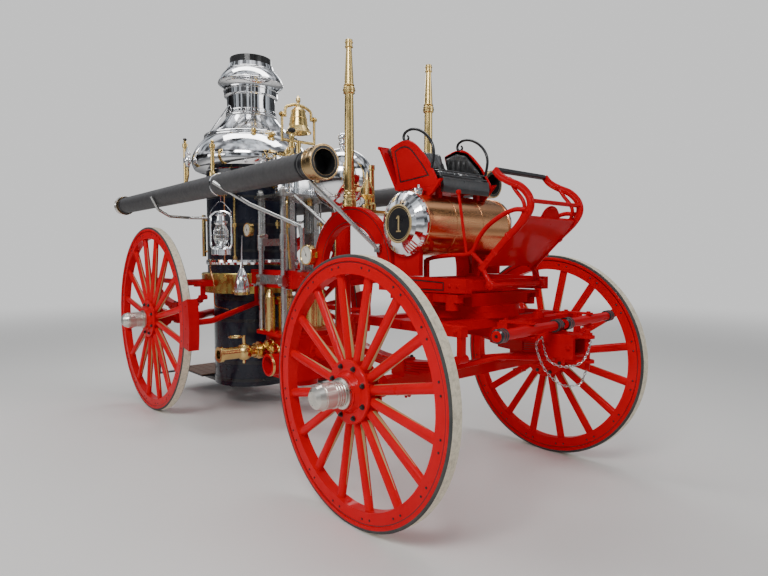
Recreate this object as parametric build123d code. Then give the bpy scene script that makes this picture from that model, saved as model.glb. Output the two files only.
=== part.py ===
# Horse-drawn crane-neck steam fire engine, millimetres.
# X points forward, Y to the left, Z up; the origin is on the ground under the middle of the machine.
# Inside this file every place is measured from the front axle: x = 0 there, y = 0 on the centre plane.
from build123d import *
from math import cos, sin, radians, pi, sqrt
import os

# Wheels
WHEELBASE = 2386
FRONT_RADIUS = 559
REAR_RADIUS = 660
TYRE_THICK = 25
TYRE_WIDTH = 57
TRACK_HALF = 702
FELLOE_DEPTH = 55
FELLOE_WIDTH = 49
SPOKE_COUNT = 16
SPOKE_ROOT = (40, 50)
SPOKE_TIP = (42, 32)
SPOKE_START = 90
FLANGE_RADIUS = 131
FLANGE_THICK = 14
NAVE_RADIUS = 84
NAVE_INNER = 600
CAP_RADIUS = 52
CAP_START = 764
CAP_END = 911
ARM_RADIUS = 30
ARM_END = 800
RUNNING_GAP = 0.3

# Crane-neck frame
RAIL_Y = 285
RAIL_WIDE = 40
RAIL_BOTTOM = 945
RAIL_TOP = 1019
RAIL_FRONT = 249
RAIL_TIP_DEPTH = 60
ARCH_X = -554
ARCH_Z = 1036
ARCH_OUTER = 334
ARCH_INNER = 240
FLARE_START = -950
FLARE_END = -1300
ENGINE_RAIL_Y = 170
ENGINE_RAIL_BOTTOM = 900
BEAM_DEPTH = 45
BEAM_BOTTOM = 958

# Frame behind the boiler
RING_WALL_RADIUS = 376
RING_LOW = 851
RING_HIGH = 980
SIDE_BAR_Y = 500
SIDE_BAR_WIDE = 36
SIDE_BAR_BOTTOM = 905
SIDE_BAR_DEPTH = 35
SIDE_BAR_FRONT = 470
SIDE_BAR_BACK = -470
RING_ARMS = (75, -125)

# Fifth wheel and fore carriage
RING_OUTER = 245
RING_INNER = 190
RING_THICK = 28
LOWER_RING_TOP = 860
KING_RADIUS = 25
KING_END = 770
BOLSTER_HALF = 330
BOLSTER_WIDE = 110
CARRIAGE_Y = 430
CARRIAGE_HALF = 352
CARRIAGE_WIDE = 40
CARRIAGE_BOTTOM = 790
CARRIAGE_TOP = 832
AXLE_SQUARE = 64
AXLE_SQUARE_HALF = 560
COLLAR_RADIUS = 50

# Leaf springs
LEAF_COUNT = 5
LEAF_THICK = 11
LEAF_WIDE = 55
SPRING_CAMBER = 1300
FRONT_SPRING_HALF = 355
REAR_SPRING_HALF = 450
SPRING_EYE = 17
SEAT_BLOCK = 14

# Draft gear
SOCKET_START = 450
SOCKET_END = 600
SOCKET_WIDE = 110
SOCKET_BOTTOM = 690
SOCKET_WALL = 17
STRAP_END = 632
STRAP_THICK = 12
STRAP_HALF = 28
POLE_PIN_RADIUS = 11
POLE_PIN_LOW = 648
POLE_PIN_HIGH = 812
TREE_X = 400
TREE_Z = 822
TREE_PIVOT = 14
TREE_TURN = 5.5
TREE_HALF = 265
TREE_DEPTH = 46
CLEVIS_THICK = 8
CLEVIS_REACH = 108
SINGLE_HALF = 243
SINGLE_RADIUS = 23
SINGLE_PIN = 9
KNOB_RADIUS = 26
KNOB_LONG = 44

# Boiler
BOILER_X = -2175
FIREBOX_RADIUS = 297
FIREBOX_BOTTOM = 156
SHELL_RADIUS = 338
SHELL_BOTTOM = 990
SHELL_TOP = 1742
BAND_RADIUS = 382
BAND_BOTTOM = 845
RING_ON_SHELL = 1068
HOOD_RADIUS = 440
HOOD_TOP = 2180
NECK_RADIUS = 178
STACK_TOP = 2550
STACK_FLARE = 240
LINER_OUTER = 155
LINER_INNER = 141
LINER_TOP = 2602
DOOR_BOTTOM = 350
DOOR_TOP = 600
DOOR_HALF = 140
DOOR_THICK = 12
DOOR_SEAT = 20

# Hood outline: how far out from the neck to the widest ring, how high from the shell to the neck
HOOD_LIP = (0.924, 0.034)
HOOD_WIDEST = (1, 0.144)
HOOD_SHOULDER = (0.977, 0.267)
HOOD_DOME = (0.832, 0.432)
HOOD_STEP = ((0.618, 0.571), (0.641, 0.584), (0.641, 0.612), (0.58, 0.626))
HOOD_CONE = (0.298, 0.765)
HOOD_FOOT = (0.03, 0.954)

# Stack outline: how far out from the neck to the flare, how high from the hood to the rim
STACK_NECK = ((0.16, 0), (0.16, 0.049), (0, 0.06), (0.03, 0.346), (0.35, 0.368), (0.35, 0.465))
STACK_CURVE = (0.5, 0.573)
STACK_WIDEST = ((1, 0.632), (1, 0.665))
STACK_CAP = (0.6, 0.789)
STACK_RIM = ((-0.05, 0.897), (-0.2, 1))

# Engine and pump
ENGINE_X = -1510
COLUMN_X = 146
COLUMN_Y = 215
COLUMN_RADIUS = 19
SLEEVE_RADIUS = 26
SLEEVE_LOW = 1155
SLEEVE_HIGH = 1250
CLAMP_LOW = 916
CLAMP_HIGH = 990
PLATE_X = 186
PLATE_Y = 255
PLATE_BOTTOM = 1495
PLATE_THICK = 18
CYLINDER_Y = 95
CYLINDER_RADIUS = 82
CYLINDER_TOP = 1742
HEAD_RADIUS = 90
HEAD_THICK = 26
HEAD_BOSS = 8
CHEST_BACK = -150
ROD_RADIUS = 12
CROSSHEAD_Z = 1230
CROSSHEAD_TALL = 80
CROSSHEAD_HALF = 46
STROKE_HALF = 90
GUIDE_THICK = 16
GUIDE_GAP = 2
BARREL_RADIUS = 70
BARREL_BOTTOM = 610
BARREL_TOP = 840
PUMP_BACK = -150
PUMP_FRONT = 230
PUMP_Y = 200
PUMP_BOTTOM = 300
PUMP_FLANGE_X = 180
PUMP_FLANGE_Y = 245
PUMP_FLANGE_THICK = 25
SUCTION_X = 60
SUCTION_Z = 400
SUCTION_BORE = 57
OUTLET_X = -90
OUTLET_Z = 480
OUTLET_END = 560
OUTLET_BORE = 30
PIPE_X = -1010
PIPE_Z = 480
PIPE_RADIUS = 52
AIR_Z = 1581
AIR_RADIUS = 190

# Bell
BELL_X = -1512
BELL_PIVOT_Z = 2056
BELL_MOUTH_Z = 1946
BELL_MOUTH = 88
BELL_CROWN_Z = 2124
BELL_POST_Y = 128
BELL_BAR_Z = 1890
BELL_ARCH_Y = 103
BELL_ARCH_RADIUS = 10
BELL_PIN = 9

# Playpipes
PLAYPIPE_X = -565
PLAYPIPE_Y = 293
PLAYPIPE_TOP = 2227

# Tank, seat and footboard
TANK_X = -122
TANK_Z = 1260
TANK_RADIUS = 147
TANK_BARREL = 300
TANK_END = 352
SEAT_Y = 190
SEAT_PANEL = 14
SEAT_FLOOR = 1440
SEAT_PAD = 14
CUSHION_FRONT = -30
CUSHION_TOP = 1514
FOOT_Y = 186
FOOT_RAIL = (20, 32)
STEP_X = 285
STEP_Z = 984
HANDRAIL_X = 300
HANDRAIL_Z = 1474

# Suction hoses
HOSE_Y = 612
HOSE_FRONT_X = -440
HOSE_REAR_X = -3240
HOSE_Z = 1540
HOSE_RADIUS = 65
COUPLING_RADIUS = 82
COUPLING_BORE = 60
COUPLING_LONG = 107
COUPLING_BACK = 67
LANTERN_X = -1421
LANTERN_BOTTOM = 1118

# Brake and rear running gear
BRAKE_X = -1664
BRAKE_Z = 690
BRAKE_BOW_X = -1815
BRAKE_BOW_Z = 780
SHOE_GAP = 6
SHOE_THICK = 90
CRANK_RADIUS = 352
REAR_SPRING_Y = 500
PLATFORM_Z = 150
PLATFORM_Y = 230
PLATFORM_REAR = -2940
DECK_HALF = 290
DECK_THICK = 10

# The middle of the machine's length lies over the origin.
FRONT_REACH = STRAP_END + STRAP_HALF
REAR_REACH = COUPLING_BACK - HOSE_REAR_X
FRONT_AXLE_X = (REAR_REACH - FRONT_REACH) / 2
REAR_AXLE_X = -WHEELBASE
RAIL_SIDE = RAIL_Y + RAIL_WIDE / 2


# Small helpers
def block(x0, x1, y0, y1, z0, z1):
    """A box between two corners."""
    return Pos((x0 + x1) / 2, (y0 + y1) / 2, (z0 + z1) / 2) * Box(x1 - x0, y1 - y0, z1 - z0)


def rod(start, end, radius):
    """A round bar from one point to another."""
    start = Vector(*start)
    way = Vector(*end) - start
    place = Plane(origin=start, z_dir=way.normalized())
    return extrude(place * Circle(radius), amount=way.length)


def bent(points, bend, radius):
    """A round bar along straight runs that are joined by arcs."""
    path = FilletPolyline(*points, radius=bend)
    return sweep(Plane(origin=path @ 0, z_dir=path % 0) * Circle(radius), path=path)


def bent_bar(points, bend, size):
    """A flat bar along a route in a plane of constant y."""
    path = FilletPolyline(*points, radius=bend)
    place = Plane(origin=path @ 0, x_dir=(0, 1, 0), z_dir=path % 0)
    return sweep(place * Rectangle(*size), path=path)


def turned(profile, x=0, y=0):
    """A turned piece from (radius, height) points, about an upright axis."""
    points = [(r, 0, z) for r, z in profile]
    face = make_face(Polyline(*points, close=True))
    return Pos(x, y, 0) * revolve(face, axis=Axis.Z)


def revolved(edges, x):
    """A turned piece from lines and arcs drawn as radius and height."""
    return Pos(x, 0, 0) * revolve(Plane.XZ * make_face(edges), axis=Axis.Z)


def chain(points):
    """Straight lines from point to point."""
    return [Line(a, b) for a, b in zip(points, points[1:])]


def sector(inner, outer, start, end):
    """A flat ring sector about the origin of the XY plane, angles in degrees."""
    def spot(radius, angle):
        return (radius * cos(radians(angle)), radius * sin(radians(angle)))
    middle = (start + end) / 2
    edges = [
        ThreePointArc(spot(outer, start), spot(outer, middle), spot(outer, end)),
        Line(spot(outer, end), spot(inner, end)),
        ThreePointArc(spot(inner, end), spot(inner, middle), spot(inner, start)),
        Line(spot(inner, start), spot(outer, start)),
    ]
    return make_face(edges)


def upright(face, y, thick):
    """A flat outline, drawn as x and z, made into a plate centred at y."""
    return extrude(Plane(origin=(0, y + thick / 2, 0), x_dir=(1, 0, 0), z_dir=(0, -1, 0)) * face, amount=thick)


def outline(*points):
    """A flat face from a closed list of corners."""
    return make_face(Polyline(*points, close=True))


def both(shape):
    """The shape on the near side and its mirror image on the far side."""
    return [shape, mirror(shape, about=Plane.XZ)]


def fused(shapes):
    """Many shapes as one."""
    shapes = list(shapes)
    return shapes[0].fuse(*shapes[1:]).clean() if len(shapes) > 1 else shapes[0]


def boiler_core(radius, low, high):
    """A plain cylinder on the boiler's axis, for cutting."""
    return Pos(BOILER_X, 0, (low + high) / 2) * Cylinder(radius, high - low)


def from_shell(x, y, z, radius):
    """A round bar from the boiler's shell straight out to a point."""
    share = (SHELL_RADIUS + RUNNING_GAP) / sqrt((x - BOILER_X) ** 2 + y ** 2)
    return rod((BOILER_X + (x - BOILER_X) * share, y * share, z), (x, y, z), radius)


def arch_disc(radius):
    """A plain cylinder across the machine on the arch's centre, for cutting."""
    return Pos(ARCH_X, 0, ARCH_Z) * Rot(90, 0, 0) * Cylinder(radius, 4 * RAIL_Y)


# Wheels, drawn about the Z axis with the outside up, z being the distance from the centre plane
def wheel_pieces(radius):
    rim = radius - TYRE_THICK
    tyre = Pos(0, 0, TRACK_HALF) * (Cylinder(radius, TYRE_WIDTH) - Cylinder(rim, TYRE_WIDTH))
    tyre = chamfer(tyre.edges().filter_by(GeomType.CIRCLE).filter_by(lambda e: e.radius > rim + 1), 5)
    felloe_inner = rim - FELLOE_DEPTH
    felloe = Pos(0, 0, TRACK_HALF) * (Cylinder(rim, FELLOE_WIDTH) - Cylinder(felloe_inner, FELLOE_WIDTH))
    spoke_end = felloe_inner + 10
    spoke = loft([Plane(origin=(x, 0, TRACK_HALF), z_dir=(1, 0, 0), x_dir=(0, 1, 0)) * Ellipse(wide / 2, deep / 2)
                  for x, (wide, deep) in ((SPOKE_START, SPOKE_ROOT), (spoke_end, SPOKE_TIP))])
    spokes = [Rot(0, 0, (i + 0.5) * 360 / SPOKE_COUNT) * spoke for i in range(SPOKE_COUNT)]
    core_low = TRACK_HALF - SPOKE_ROOT[1] / 2
    core_high = TRACK_HALF + SPOKE_ROOT[1] / 2
    low, high = core_low - FLANGE_THICK, core_high + FLANGE_THICK
    edge, groove = 4, 14
    hub = turned([
        (ARM_RADIUS + RUNNING_GAP, NAVE_INNER), (NAVE_RADIUS - 22, NAVE_INNER), (NAVE_RADIUS, low),
        (FLANGE_RADIUS - edge, low), (FLANGE_RADIUS, low + edge), (FLANGE_RADIUS, core_low),
        (FLANGE_RADIUS - groove, core_low), (FLANGE_RADIUS - groove, core_high), (FLANGE_RADIUS, core_high),
        (FLANGE_RADIUS, high - edge), (FLANGE_RADIUS - edge, high), (NAVE_RADIUS, high),
        (NAVE_RADIUS - 16, CAP_START), (ARM_RADIUS + RUNNING_GAP, CAP_START),
    ])
    wood = fused([felloe, hub] + spokes)
    bore = ARM_RADIUS + 2
    cap = turned([
        (bore, CAP_START), (CAP_RADIUS + 12, CAP_START), (CAP_RADIUS + 12, CAP_START + 12),
        (CAP_RADIUS, CAP_START + 16), (CAP_RADIUS, CAP_END - 34), (CAP_RADIUS - 8, CAP_END - 12),
        (CAP_RADIUS - 24, CAP_END), (0, CAP_END), (0, ARM_END + 4), (bore, ARM_END + 4),
    ])
    return {"tyre": tyre, "wheel": wood, "hub_cap": cap}


def wheels():
    pieces = {}
    for end, x, radius in (("front", 0, FRONT_RADIUS), ("rear", REAR_AXLE_X, REAR_RADIUS)):
        drawn = wheel_pieces(radius)
        for side, turn in (("right", 90), ("left", -90)):
            for kind, shape in drawn.items():
                pieces[f"{kind}_{end}_{side}"] = Pos(x, 0, radius) * Rot(turn, 0, 0) * shape
    return pieces


# Frame
def frame_side():
    """One side of the crane-neck frame: front rail, arch, and the engine rail that closes in behind it."""
    legs = [outline((ARCH_X + a, RAIL_BOTTOM), (ARCH_X + b, RAIL_BOTTOM), (ARCH_X + b, ARCH_Z), (ARCH_X + a, ARCH_Z))
            for a, b in ((ARCH_INNER, ARCH_OUTER), (-ARCH_OUTER, -ARCH_INNER))]
    arch = Pos(ARCH_X, ARCH_Z) * sector(ARCH_INNER, ARCH_OUTER, 0, 180)
    middle = (RAIL_TOP + RAIL_BOTTOM) / 2
    front_start = ARCH_X + ARCH_OUTER - 1
    front = outline((front_start, RAIL_BOTTOM), (RAIL_FRONT, middle - RAIL_TIP_DEPTH / 2),
                    (RAIL_FRONT, middle + RAIL_TIP_DEPTH / 2), (front_start, RAIL_TOP))
    back_start = ARCH_X - ARCH_OUTER + 1
    back = outline((FLARE_START, RAIL_BOTTOM), (back_start, RAIL_BOTTOM), (back_start, RAIL_TOP), (FLARE_START, RAIL_TOP))
    side = upright(legs[0] + legs[1] + arch + front + back, -RAIL_Y, RAIL_WIDE)
    half = RAIL_WIDE / 2
    plan = outline((FLARE_START, -RAIL_Y - half), (FLARE_START, -RAIL_Y + half),
                   (FLARE_END, -ENGINE_RAIL_Y + half), (BOILER_X, -ENGINE_RAIL_Y + half),
                   (BOILER_X, -ENGINE_RAIL_Y - half), (FLARE_END, -ENGINE_RAIL_Y - half))
    rear = extrude(Pos(0, 0, ENGINE_RAIL_BOTTOM) * plan, amount=RAIL_TOP - ENGINE_RAIL_BOTTOM)
    under = upright(outline((FLARE_START + RAIL_WIDE, ENGINE_RAIL_BOTTOM - 1), (FLARE_START + RAIL_WIDE, RAIL_BOTTOM),
                            (FLARE_START, RAIL_BOTTOM), (FLARE_END, ENGINE_RAIL_BOTTOM - 1)), -RAIL_Y, 2 * RAIL_Y)
    return side + (rear - under)


def crane_neck_frame():
    """Both sides with their cross beams, ending on the ring round the boiler."""
    low, high = BEAM_BOTTOM, BEAM_BOTTOM + BEAM_DEPTH
    # Each beam: its back, its front and half its length
    beams = [
        (150, 195, RAIL_Y), (-290, -240, RAIL_Y), (-1130, -1090, 232),
        (ENGINE_X - COLUMN_X - 28, ENGINE_X - COLUMN_X + 28, ENGINE_RAIL_Y),
        (ENGINE_X + COLUMN_X - 28, ENGINE_X + COLUMN_X + 28, ENGINE_RAIL_Y),
    ]
    bars = [block(x0, x1, -y, y, low, high) for x0, x1, y in beams]
    frame = fused(both(frame_side()) + bars)
    return frame - boiler_core(RING_WALL_RADIUS + RUNNING_GAP, ENGINE_RAIL_BOTTOM - 50, RAIL_TOP + 50)


def ring_arms():
    """The arms from the boiler's ring to the side bars over the rear springs, near side."""
    arms = [block(BOILER_X + x - 20, BOILER_X + x + 20, -SIDE_BAR_Y, -FIREBOX_RADIUS - 5, SIDE_BAR_BOTTOM - 10,
                  SIDE_BAR_BOTTOM + SIDE_BAR_DEPTH) for x in RING_ARMS]
    half = SIDE_BAR_WIDE / 2
    side = block(REAR_AXLE_X + SIDE_BAR_BACK, REAR_AXLE_X + SIDE_BAR_FRONT, -SIDE_BAR_Y - half, -SIDE_BAR_Y + half,
                 SIDE_BAR_BOTTOM, SIDE_BAR_BOTTOM + SIDE_BAR_DEPTH)
    return fused(arms + [side])


def rear_frame():
    """The ring that carries the boiler, with its arms and the side bars."""
    ring = boiler_core(RING_WALL_RADIUS, RING_LOW, RING_HIGH)
    body = fused([ring] + both(ring_arms()))
    return body - boiler_core(FIREBOX_RADIUS + RUNNING_GAP, RING_LOW - 1, RING_HIGH + 1)


def ring_plate(bottom):
    return Pos(0, 0, bottom + RING_THICK / 2) * (Cylinder(RING_OUTER, RING_THICK) - Cylinder(RING_INNER, RING_THICK))


def fifth_wheel_upper():
    ring_low = LOWER_RING_TOP + RUNNING_GAP
    ring_high = ring_low + RING_THICK
    bolster = block(-BOLSTER_WIDE / 2, BOLSTER_WIDE / 2, -BOLSTER_HALF, BOLSTER_HALF, ring_high, RAIL_BOTTOM)
    back, front, half, inner = -230, 200, 18, 205
    side_bars = both(block(back, front, -RAIL_Y - half, -RAIL_Y + half, ring_high + 20, RAIL_BOTTOM))
    cross = [block(x - 25, x + 25, -inner, inner, ring_high, RAIL_BOTTOM) for x in (-205, 175)]
    king = rod((0, 0, KING_END), (0, 0, RAIL_BOTTOM), KING_RADIUS)
    links = both(block(back, front, -RAIL_Y + half, -inner + 5, RAIL_BOTTOM - 14, RAIL_BOTTOM))
    posts = both(rod((front - 47, -RAIL_Y, 874), (front - 47, -RAIL_Y, RAIL_BOTTOM - 5), 28))
    return fused([ring_plate(ring_low), bolster, king] + side_bars + cross + links + posts)


def fifth_wheel_lower():
    beams = [block(x - w, x + w, -CARRIAGE_Y, CARRIAGE_Y, CARRIAGE_BOTTOM, CARRIAGE_TOP)
             for x, w in ((0, 45), (-190, 25), (190, 25))]
    half = CARRIAGE_WIDE / 2
    bars = both(block(-CARRIAGE_HALF, CARRIAGE_HALF, -CARRIAGE_Y - half, -CARRIAGE_Y + half, CARRIAGE_BOTTOM, CARRIAGE_TOP))
    ring = ring_plate(LOWER_RING_TOP - RING_THICK)
    body = fused([ring] + beams + bars)
    return body - Pos(0, 0, CARRIAGE_TOP) * Cylinder(KING_RADIUS + RUNNING_GAP, 4 * RING_THICK)


def axle_arm(x, radius, inner):
    """The round arm in the hub, with its collar, on the near side."""
    collar = rod((x, -inner, radius), (x, -NAVE_INNER + RUNNING_GAP, radius), COLLAR_RADIUS)
    return collar + rod((x, -NAVE_INNER + RUNNING_GAP, radius), (x, -ARM_END, radius), ARM_RADIUS)


def axle_bed():
    half = AXLE_SQUARE / 2
    return block(-half, half, -AXLE_SQUARE_HALF, AXLE_SQUARE_HALF, FRONT_RADIUS - half, FRONT_RADIUS + half)


def front_axle():
    return fused([axle_bed()] + both(axle_arm(0, FRONT_RADIUS, AXLE_SQUARE_HALF)))


def leaf_pack(half_length):
    """A half-elliptic spring drawn in XZ about its seat at the origin, ends up."""
    flat = None
    for i in range(LEAF_COUNT):
        reach = half_length * (1 - 0.16 * i)
        angle = reach / SPRING_CAMBER * 180 / pi
        inner = SPRING_CAMBER - LEAF_THICK * (LEAF_COUNT - i)
        leaf = Pos(0, SPRING_CAMBER) * sector(inner, inner + LEAF_THICK, -90 - angle, -90 + angle)
        flat = leaf if flat is None else flat + leaf
    return flat


def spring(x, y, z, half_length, hanger_top):
    """A spring standing on an axle at z, with its seat block, end eyes and shackles."""
    stack = LEAF_COUNT * LEAF_THICK
    pack = Pos(x, 0, z + SEAT_BLOCK) * upright(leaf_pack(half_length), y, LEAF_WIDE)
    side = LEAF_WIDE / 2 + 8
    clip = block(x - 40, x + 40, y - side, y + side, z, z + SEAT_BLOCK + stack + 8)
    angle = half_length / SPRING_CAMBER
    eye_z = z + SEAT_BLOCK + SPRING_CAMBER - (SPRING_CAMBER - stack + LEAF_THICK / 2) * cos(angle)
    reach = (SPRING_CAMBER - stack) * sin(angle)
    pieces = [pack, clip]
    for s in (-1, 1):
        eye_x = x + s * reach
        pieces.append(rod((eye_x, y - LEAF_WIDE / 2, eye_z), (eye_x, y + LEAF_WIDE / 2, eye_z), SPRING_EYE))
        pieces.append(block(eye_x - 12, eye_x + 12, y - 14, y + 14, eye_z, hanger_top))
    return fused(pieces)


def front_springs():
    return both(spring(0, -CARRIAGE_Y, FRONT_RADIUS + AXLE_SQUARE / 2, FRONT_SPRING_HALF, CARRIAGE_BOTTOM))


def rear_axle():
    y0 = sqrt(CRANK_RADIUS ** 2 - (REAR_AXLE_X - BOILER_X) ** 2)
    arms = both(axle_arm(REAR_AXLE_X, REAR_RADIUS, NAVE_INNER - 20))
    way = [(REAR_AXLE_X, -NAVE_INNER + 19, REAR_RADIUS), (REAR_AXLE_X, -y0 - 60, REAR_RADIUS)]
    far = [(x, -y, z) for x, y, z in reversed(way)]
    bow_x = BOILER_X - CRANK_RADIUS - 20
    bow = bent([*way, (bow_x, -190, REAR_RADIUS), (bow_x, 190, REAR_RADIUS), *far], 70, ARM_RADIUS)
    return fused([bow] + arms)


def rear_springs():
    top = REAR_RADIUS + ARM_RADIUS
    seat = block(REAR_AXLE_X - 40, REAR_AXLE_X + 40, -REAR_SPRING_Y - 35, -REAR_SPRING_Y + 35, top - 75, top + 1)
    axle = rod((REAR_AXLE_X, -REAR_SPRING_Y - 60, REAR_RADIUS), (REAR_AXLE_X, -REAR_SPRING_Y + 60, REAR_RADIUS), ARM_RADIUS)
    pack = spring(REAR_AXLE_X, -REAR_SPRING_Y, top, REAR_SPRING_HALF, SIDE_BAR_BOTTOM)
    return both((pack + seat) - axle)


def draft_frame():
    top = CARRIAGE_BOTTOM
    socket_half = SOCKET_WIDE / 2
    hound = outline((-215, -130), (-215, -105), (SOCKET_START, -30), (SOCKET_START, -55))
    bars = both(extrude(Pos(0, 0, top - 45) * hound, amount=45))
    box = block(SOCKET_START, SOCKET_END, -socket_half, socket_half, SOCKET_BOTTOM, top)
    inner = socket_half - SOCKET_WALL
    hollow = block(SOCKET_START + 30, SOCKET_END + 1, -inner, inner, SOCKET_BOTTOM + SOCKET_WALL, top - SOCKET_WALL)
    straps = []
    for z in (SOCKET_BOTTOM - STRAP_THICK, top - STRAP_THICK):
        strap = block(SOCKET_END - 40, STRAP_END, -STRAP_HALF, STRAP_HALF, z, z + STRAP_THICK)
        strap = strap + Pos(STRAP_END, 0, z + STRAP_THICK / 2) * Cylinder(STRAP_HALF, STRAP_THICK)
        straps.append(strap)
    pin = rod((STRAP_END, 0, POLE_PIN_LOW), (STRAP_END, 0, POLE_PIN_HIGH), POLE_PIN_RADIUS)
    pin = pin + rod((STRAP_END, 0, top), (STRAP_END, 0, top + 10), POLE_PIN_RADIUS + 8)
    plate = block(TREE_X - 50, TREE_X + 40, -110, 110, top - 8, top)
    tree_top = TREE_Z + TREE_DEPTH / 2
    pivot = rod((TREE_X, 0, top - 8), (TREE_X, 0, tree_top + 20), TREE_PIVOT)
    washer = rod((TREE_X, 0, top), (TREE_X, 0, tree_top - TREE_DEPTH - RUNNING_GAP), TREE_PIVOT + 16)
    head = rod((TREE_X, 0, tree_top + RUNNING_GAP), (TREE_X, 0, tree_top + 20), TREE_PIVOT + 10)
    half = AXLE_SQUARE / 2
    stays = both(bent([(SOCKET_START + 60, -45, SOCKET_BOTTOM - 4), (242, -60, SOCKET_BOTTOM - 34),
                       (half - 5, -210, FRONT_RADIUS + 20)], 60, 12))
    frame = fused(bars + [box] + straps + [pin, plate, pivot, washer, head] + stays) - hollow
    return frame - axle_bed()


def at_tree(shape):
    """Place a piece drawn about the doubletree's pivot, turned as it stands in the photograph."""
    return Pos(TREE_X, 0, TREE_Z) * Rot(0, 0, TREE_TURN) * shape


def doubletree():
    half = TREE_DEPTH / 2
    tip = TREE_HALF + 30
    flat = outline((-34, -70), (-22, -tip), (22, -tip), (26, -70), (26, 70), (22, tip), (-22, tip), (-34, 70))
    bar = extrude(Pos(0, 0, -half) * flat, amount=2 * half)
    bar = bar - Cylinder(TREE_PIVOT + RUNNING_GAP, 3 * TREE_DEPTH)
    clevises = []
    for s in (-1, 1):
        for z in (-half - CLEVIS_THICK, half):
            cheek = block(-22, CLEVIS_REACH, s * TREE_HALF - 20, s * TREE_HALF + 20, z, z + CLEVIS_THICK)
            clevises.append(cheek + Pos(CLEVIS_REACH, s * TREE_HALF, z + CLEVIS_THICK / 2) * Cylinder(20, CLEVIS_THICK))
        end = half + CLEVIS_THICK + 6
        clevises.append(rod((CLEVIS_REACH, s * TREE_HALF, -end), (CLEVIS_REACH, s * TREE_HALF, end), SINGLE_PIN))
    return at_tree(fused([bar] + clevises))


def singletree(side):
    """A turned bar, thickest at its middle, with a black knob on each end."""
    tip = SINGLE_HALF - KNOB_LONG
    neck = KNOB_RADIUS - 6
    near = [(0, -SINGLE_HALF), (neck, -SINGLE_HALF), (KNOB_RADIUS, -SINGLE_HALF + 8), (KNOB_RADIUS, -tip - 4),
            (neck, -tip), (neck, -tip + 30)]
    far = [(r, -z) for r, z in reversed(near)]
    bar = Rot(90, 0, 0) * turned([*near, (SINGLE_RADIUS - 0.6, 0), *far])
    eye = bar - Cylinder(SINGLE_PIN + RUNNING_GAP, 100)
    limit = TREE_DEPTH / 2 - 0.5
    keep = block(-40, 40, -50, 50, -limit, limit)
    middle = eye & keep
    ends = eye - block(-40, 40, -49.9, 49.9, -60, 60)
    return at_tree(Pos(CLEVIS_REACH, side * TREE_HALF, 0) * fused([middle, ends]))


# Boiler
def boiler_shell():
    body = turned([(0, FIREBOX_BOTTOM), (FIREBOX_RADIUS, FIREBOX_BOTTOM), (FIREBOX_RADIUS, SHELL_BOTTOM),
                   (SHELL_RADIUS, SHELL_BOTTOM), (SHELL_RADIUS, SHELL_TOP), (0, SHELL_TOP)], BOILER_X)
    back = BOILER_X - FIREBOX_RADIUS
    boss = block(back - DOOR_SEAT, back + 60, -DOOR_HALF - 15, DOOR_HALF + 15, DOOR_BOTTOM - 15, DOOR_TOP + 15)
    mouth = block(back - 30, back + 130, -DOOR_HALF + 30, DOOR_HALF - 30, DOOR_BOTTOM + 30, DOOR_TOP - 30)
    return body.fuse(boss).clean() - mouth


def boiler_brass_band():
    """The thin brass belt round the boiler's ring, let in round the rails and arms, and its lid under the shell."""
    inner = RING_WALL_RADIUS + RUNNING_GAP
    belt = turned([(inner, BAND_BOTTOM), (BAND_RADIUS, BAND_BOTTOM), (BAND_RADIUS, SHELL_BOTTOM - 6),
                   (BAND_RADIUS - 6, SHELL_BOTTOM), (FIREBOX_RADIUS + RUNNING_GAP, SHELL_BOTTOM),
                   (FIREBOX_RADIUS + RUNNING_GAP, RING_HIGH), (inner, RING_HIGH)], BOILER_X)
    half = RAIL_WIDE / 2 + RUNNING_GAP
    rails = both(block(BOILER_X, BOILER_X + 2 * FIREBOX_RADIUS, -ENGINE_RAIL_Y - half, -ENGINE_RAIL_Y + half,
                       ENGINE_RAIL_BOTTOM - RUNNING_GAP, RAIL_TOP))
    keep = boiler_core(RING_WALL_RADIUS, RING_HIGH, RAIL_TOP)
    arms = [block(BOILER_X + x - 20.3, BOILER_X + x + 20.3, s - FIREBOX_RADIUS, s + FIREBOX_RADIUS,
                  SIDE_BAR_BOTTOM - 10.3, SIDE_BAR_BOTTOM + SIDE_BAR_DEPTH + RUNNING_GAP)
            for x in RING_ARMS for s in (-FIREBOX_RADIUS, FIREBOX_RADIUS)]
    return belt.cut(*[r - keep for r in rails], *arms)


def boiler_chrome_jacket():
    """The domed hood, and the bright ring low on the shell."""
    def spot(place):
        return (NECK_RADIUS + place[0] * (HOOD_RADIUS - NECK_RADIUS), SHELL_TOP + place[1] * (HOOD_TOP - SHELL_TOP))
    step = [spot(p) for p in HOOD_STEP]
    edges = [Line((0, SHELL_TOP), (SHELL_RADIUS + 6, SHELL_TOP)), Line((SHELL_RADIUS + 6, SHELL_TOP), spot(HOOD_LIP)),
             ThreePointArc(spot(HOOD_LIP), spot(HOOD_WIDEST), spot(HOOD_SHOULDER)),
             ThreePointArc(spot(HOOD_SHOULDER), spot(HOOD_DOME), step[0])]
    edges += chain(step)
    edges += [ThreePointArc(step[-1], spot(HOOD_CONE), spot(HOOD_FOOT))]
    edges += chain([spot(HOOD_FOOT), (NECK_RADIUS + 4, HOOD_TOP), (0, HOOD_TOP), (0, SHELL_TOP)])
    hood = revolved(edges, BOILER_X)
    bore = boiler_core(LINER_OUTER, HOOD_TOP - 30, HOOD_TOP + 1)
    ring = turned([(SHELL_RADIUS, RING_ON_SHELL - 22), (SHELL_RADIUS + 9, RING_ON_SHELL - 16),
                   (SHELL_RADIUS + 12, RING_ON_SHELL), (SHELL_RADIUS + 9, RING_ON_SHELL + 16),
                   (SHELL_RADIUS, RING_ON_SHELL + 22)], BOILER_X)
    return [hood - bore, ring]


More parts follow.
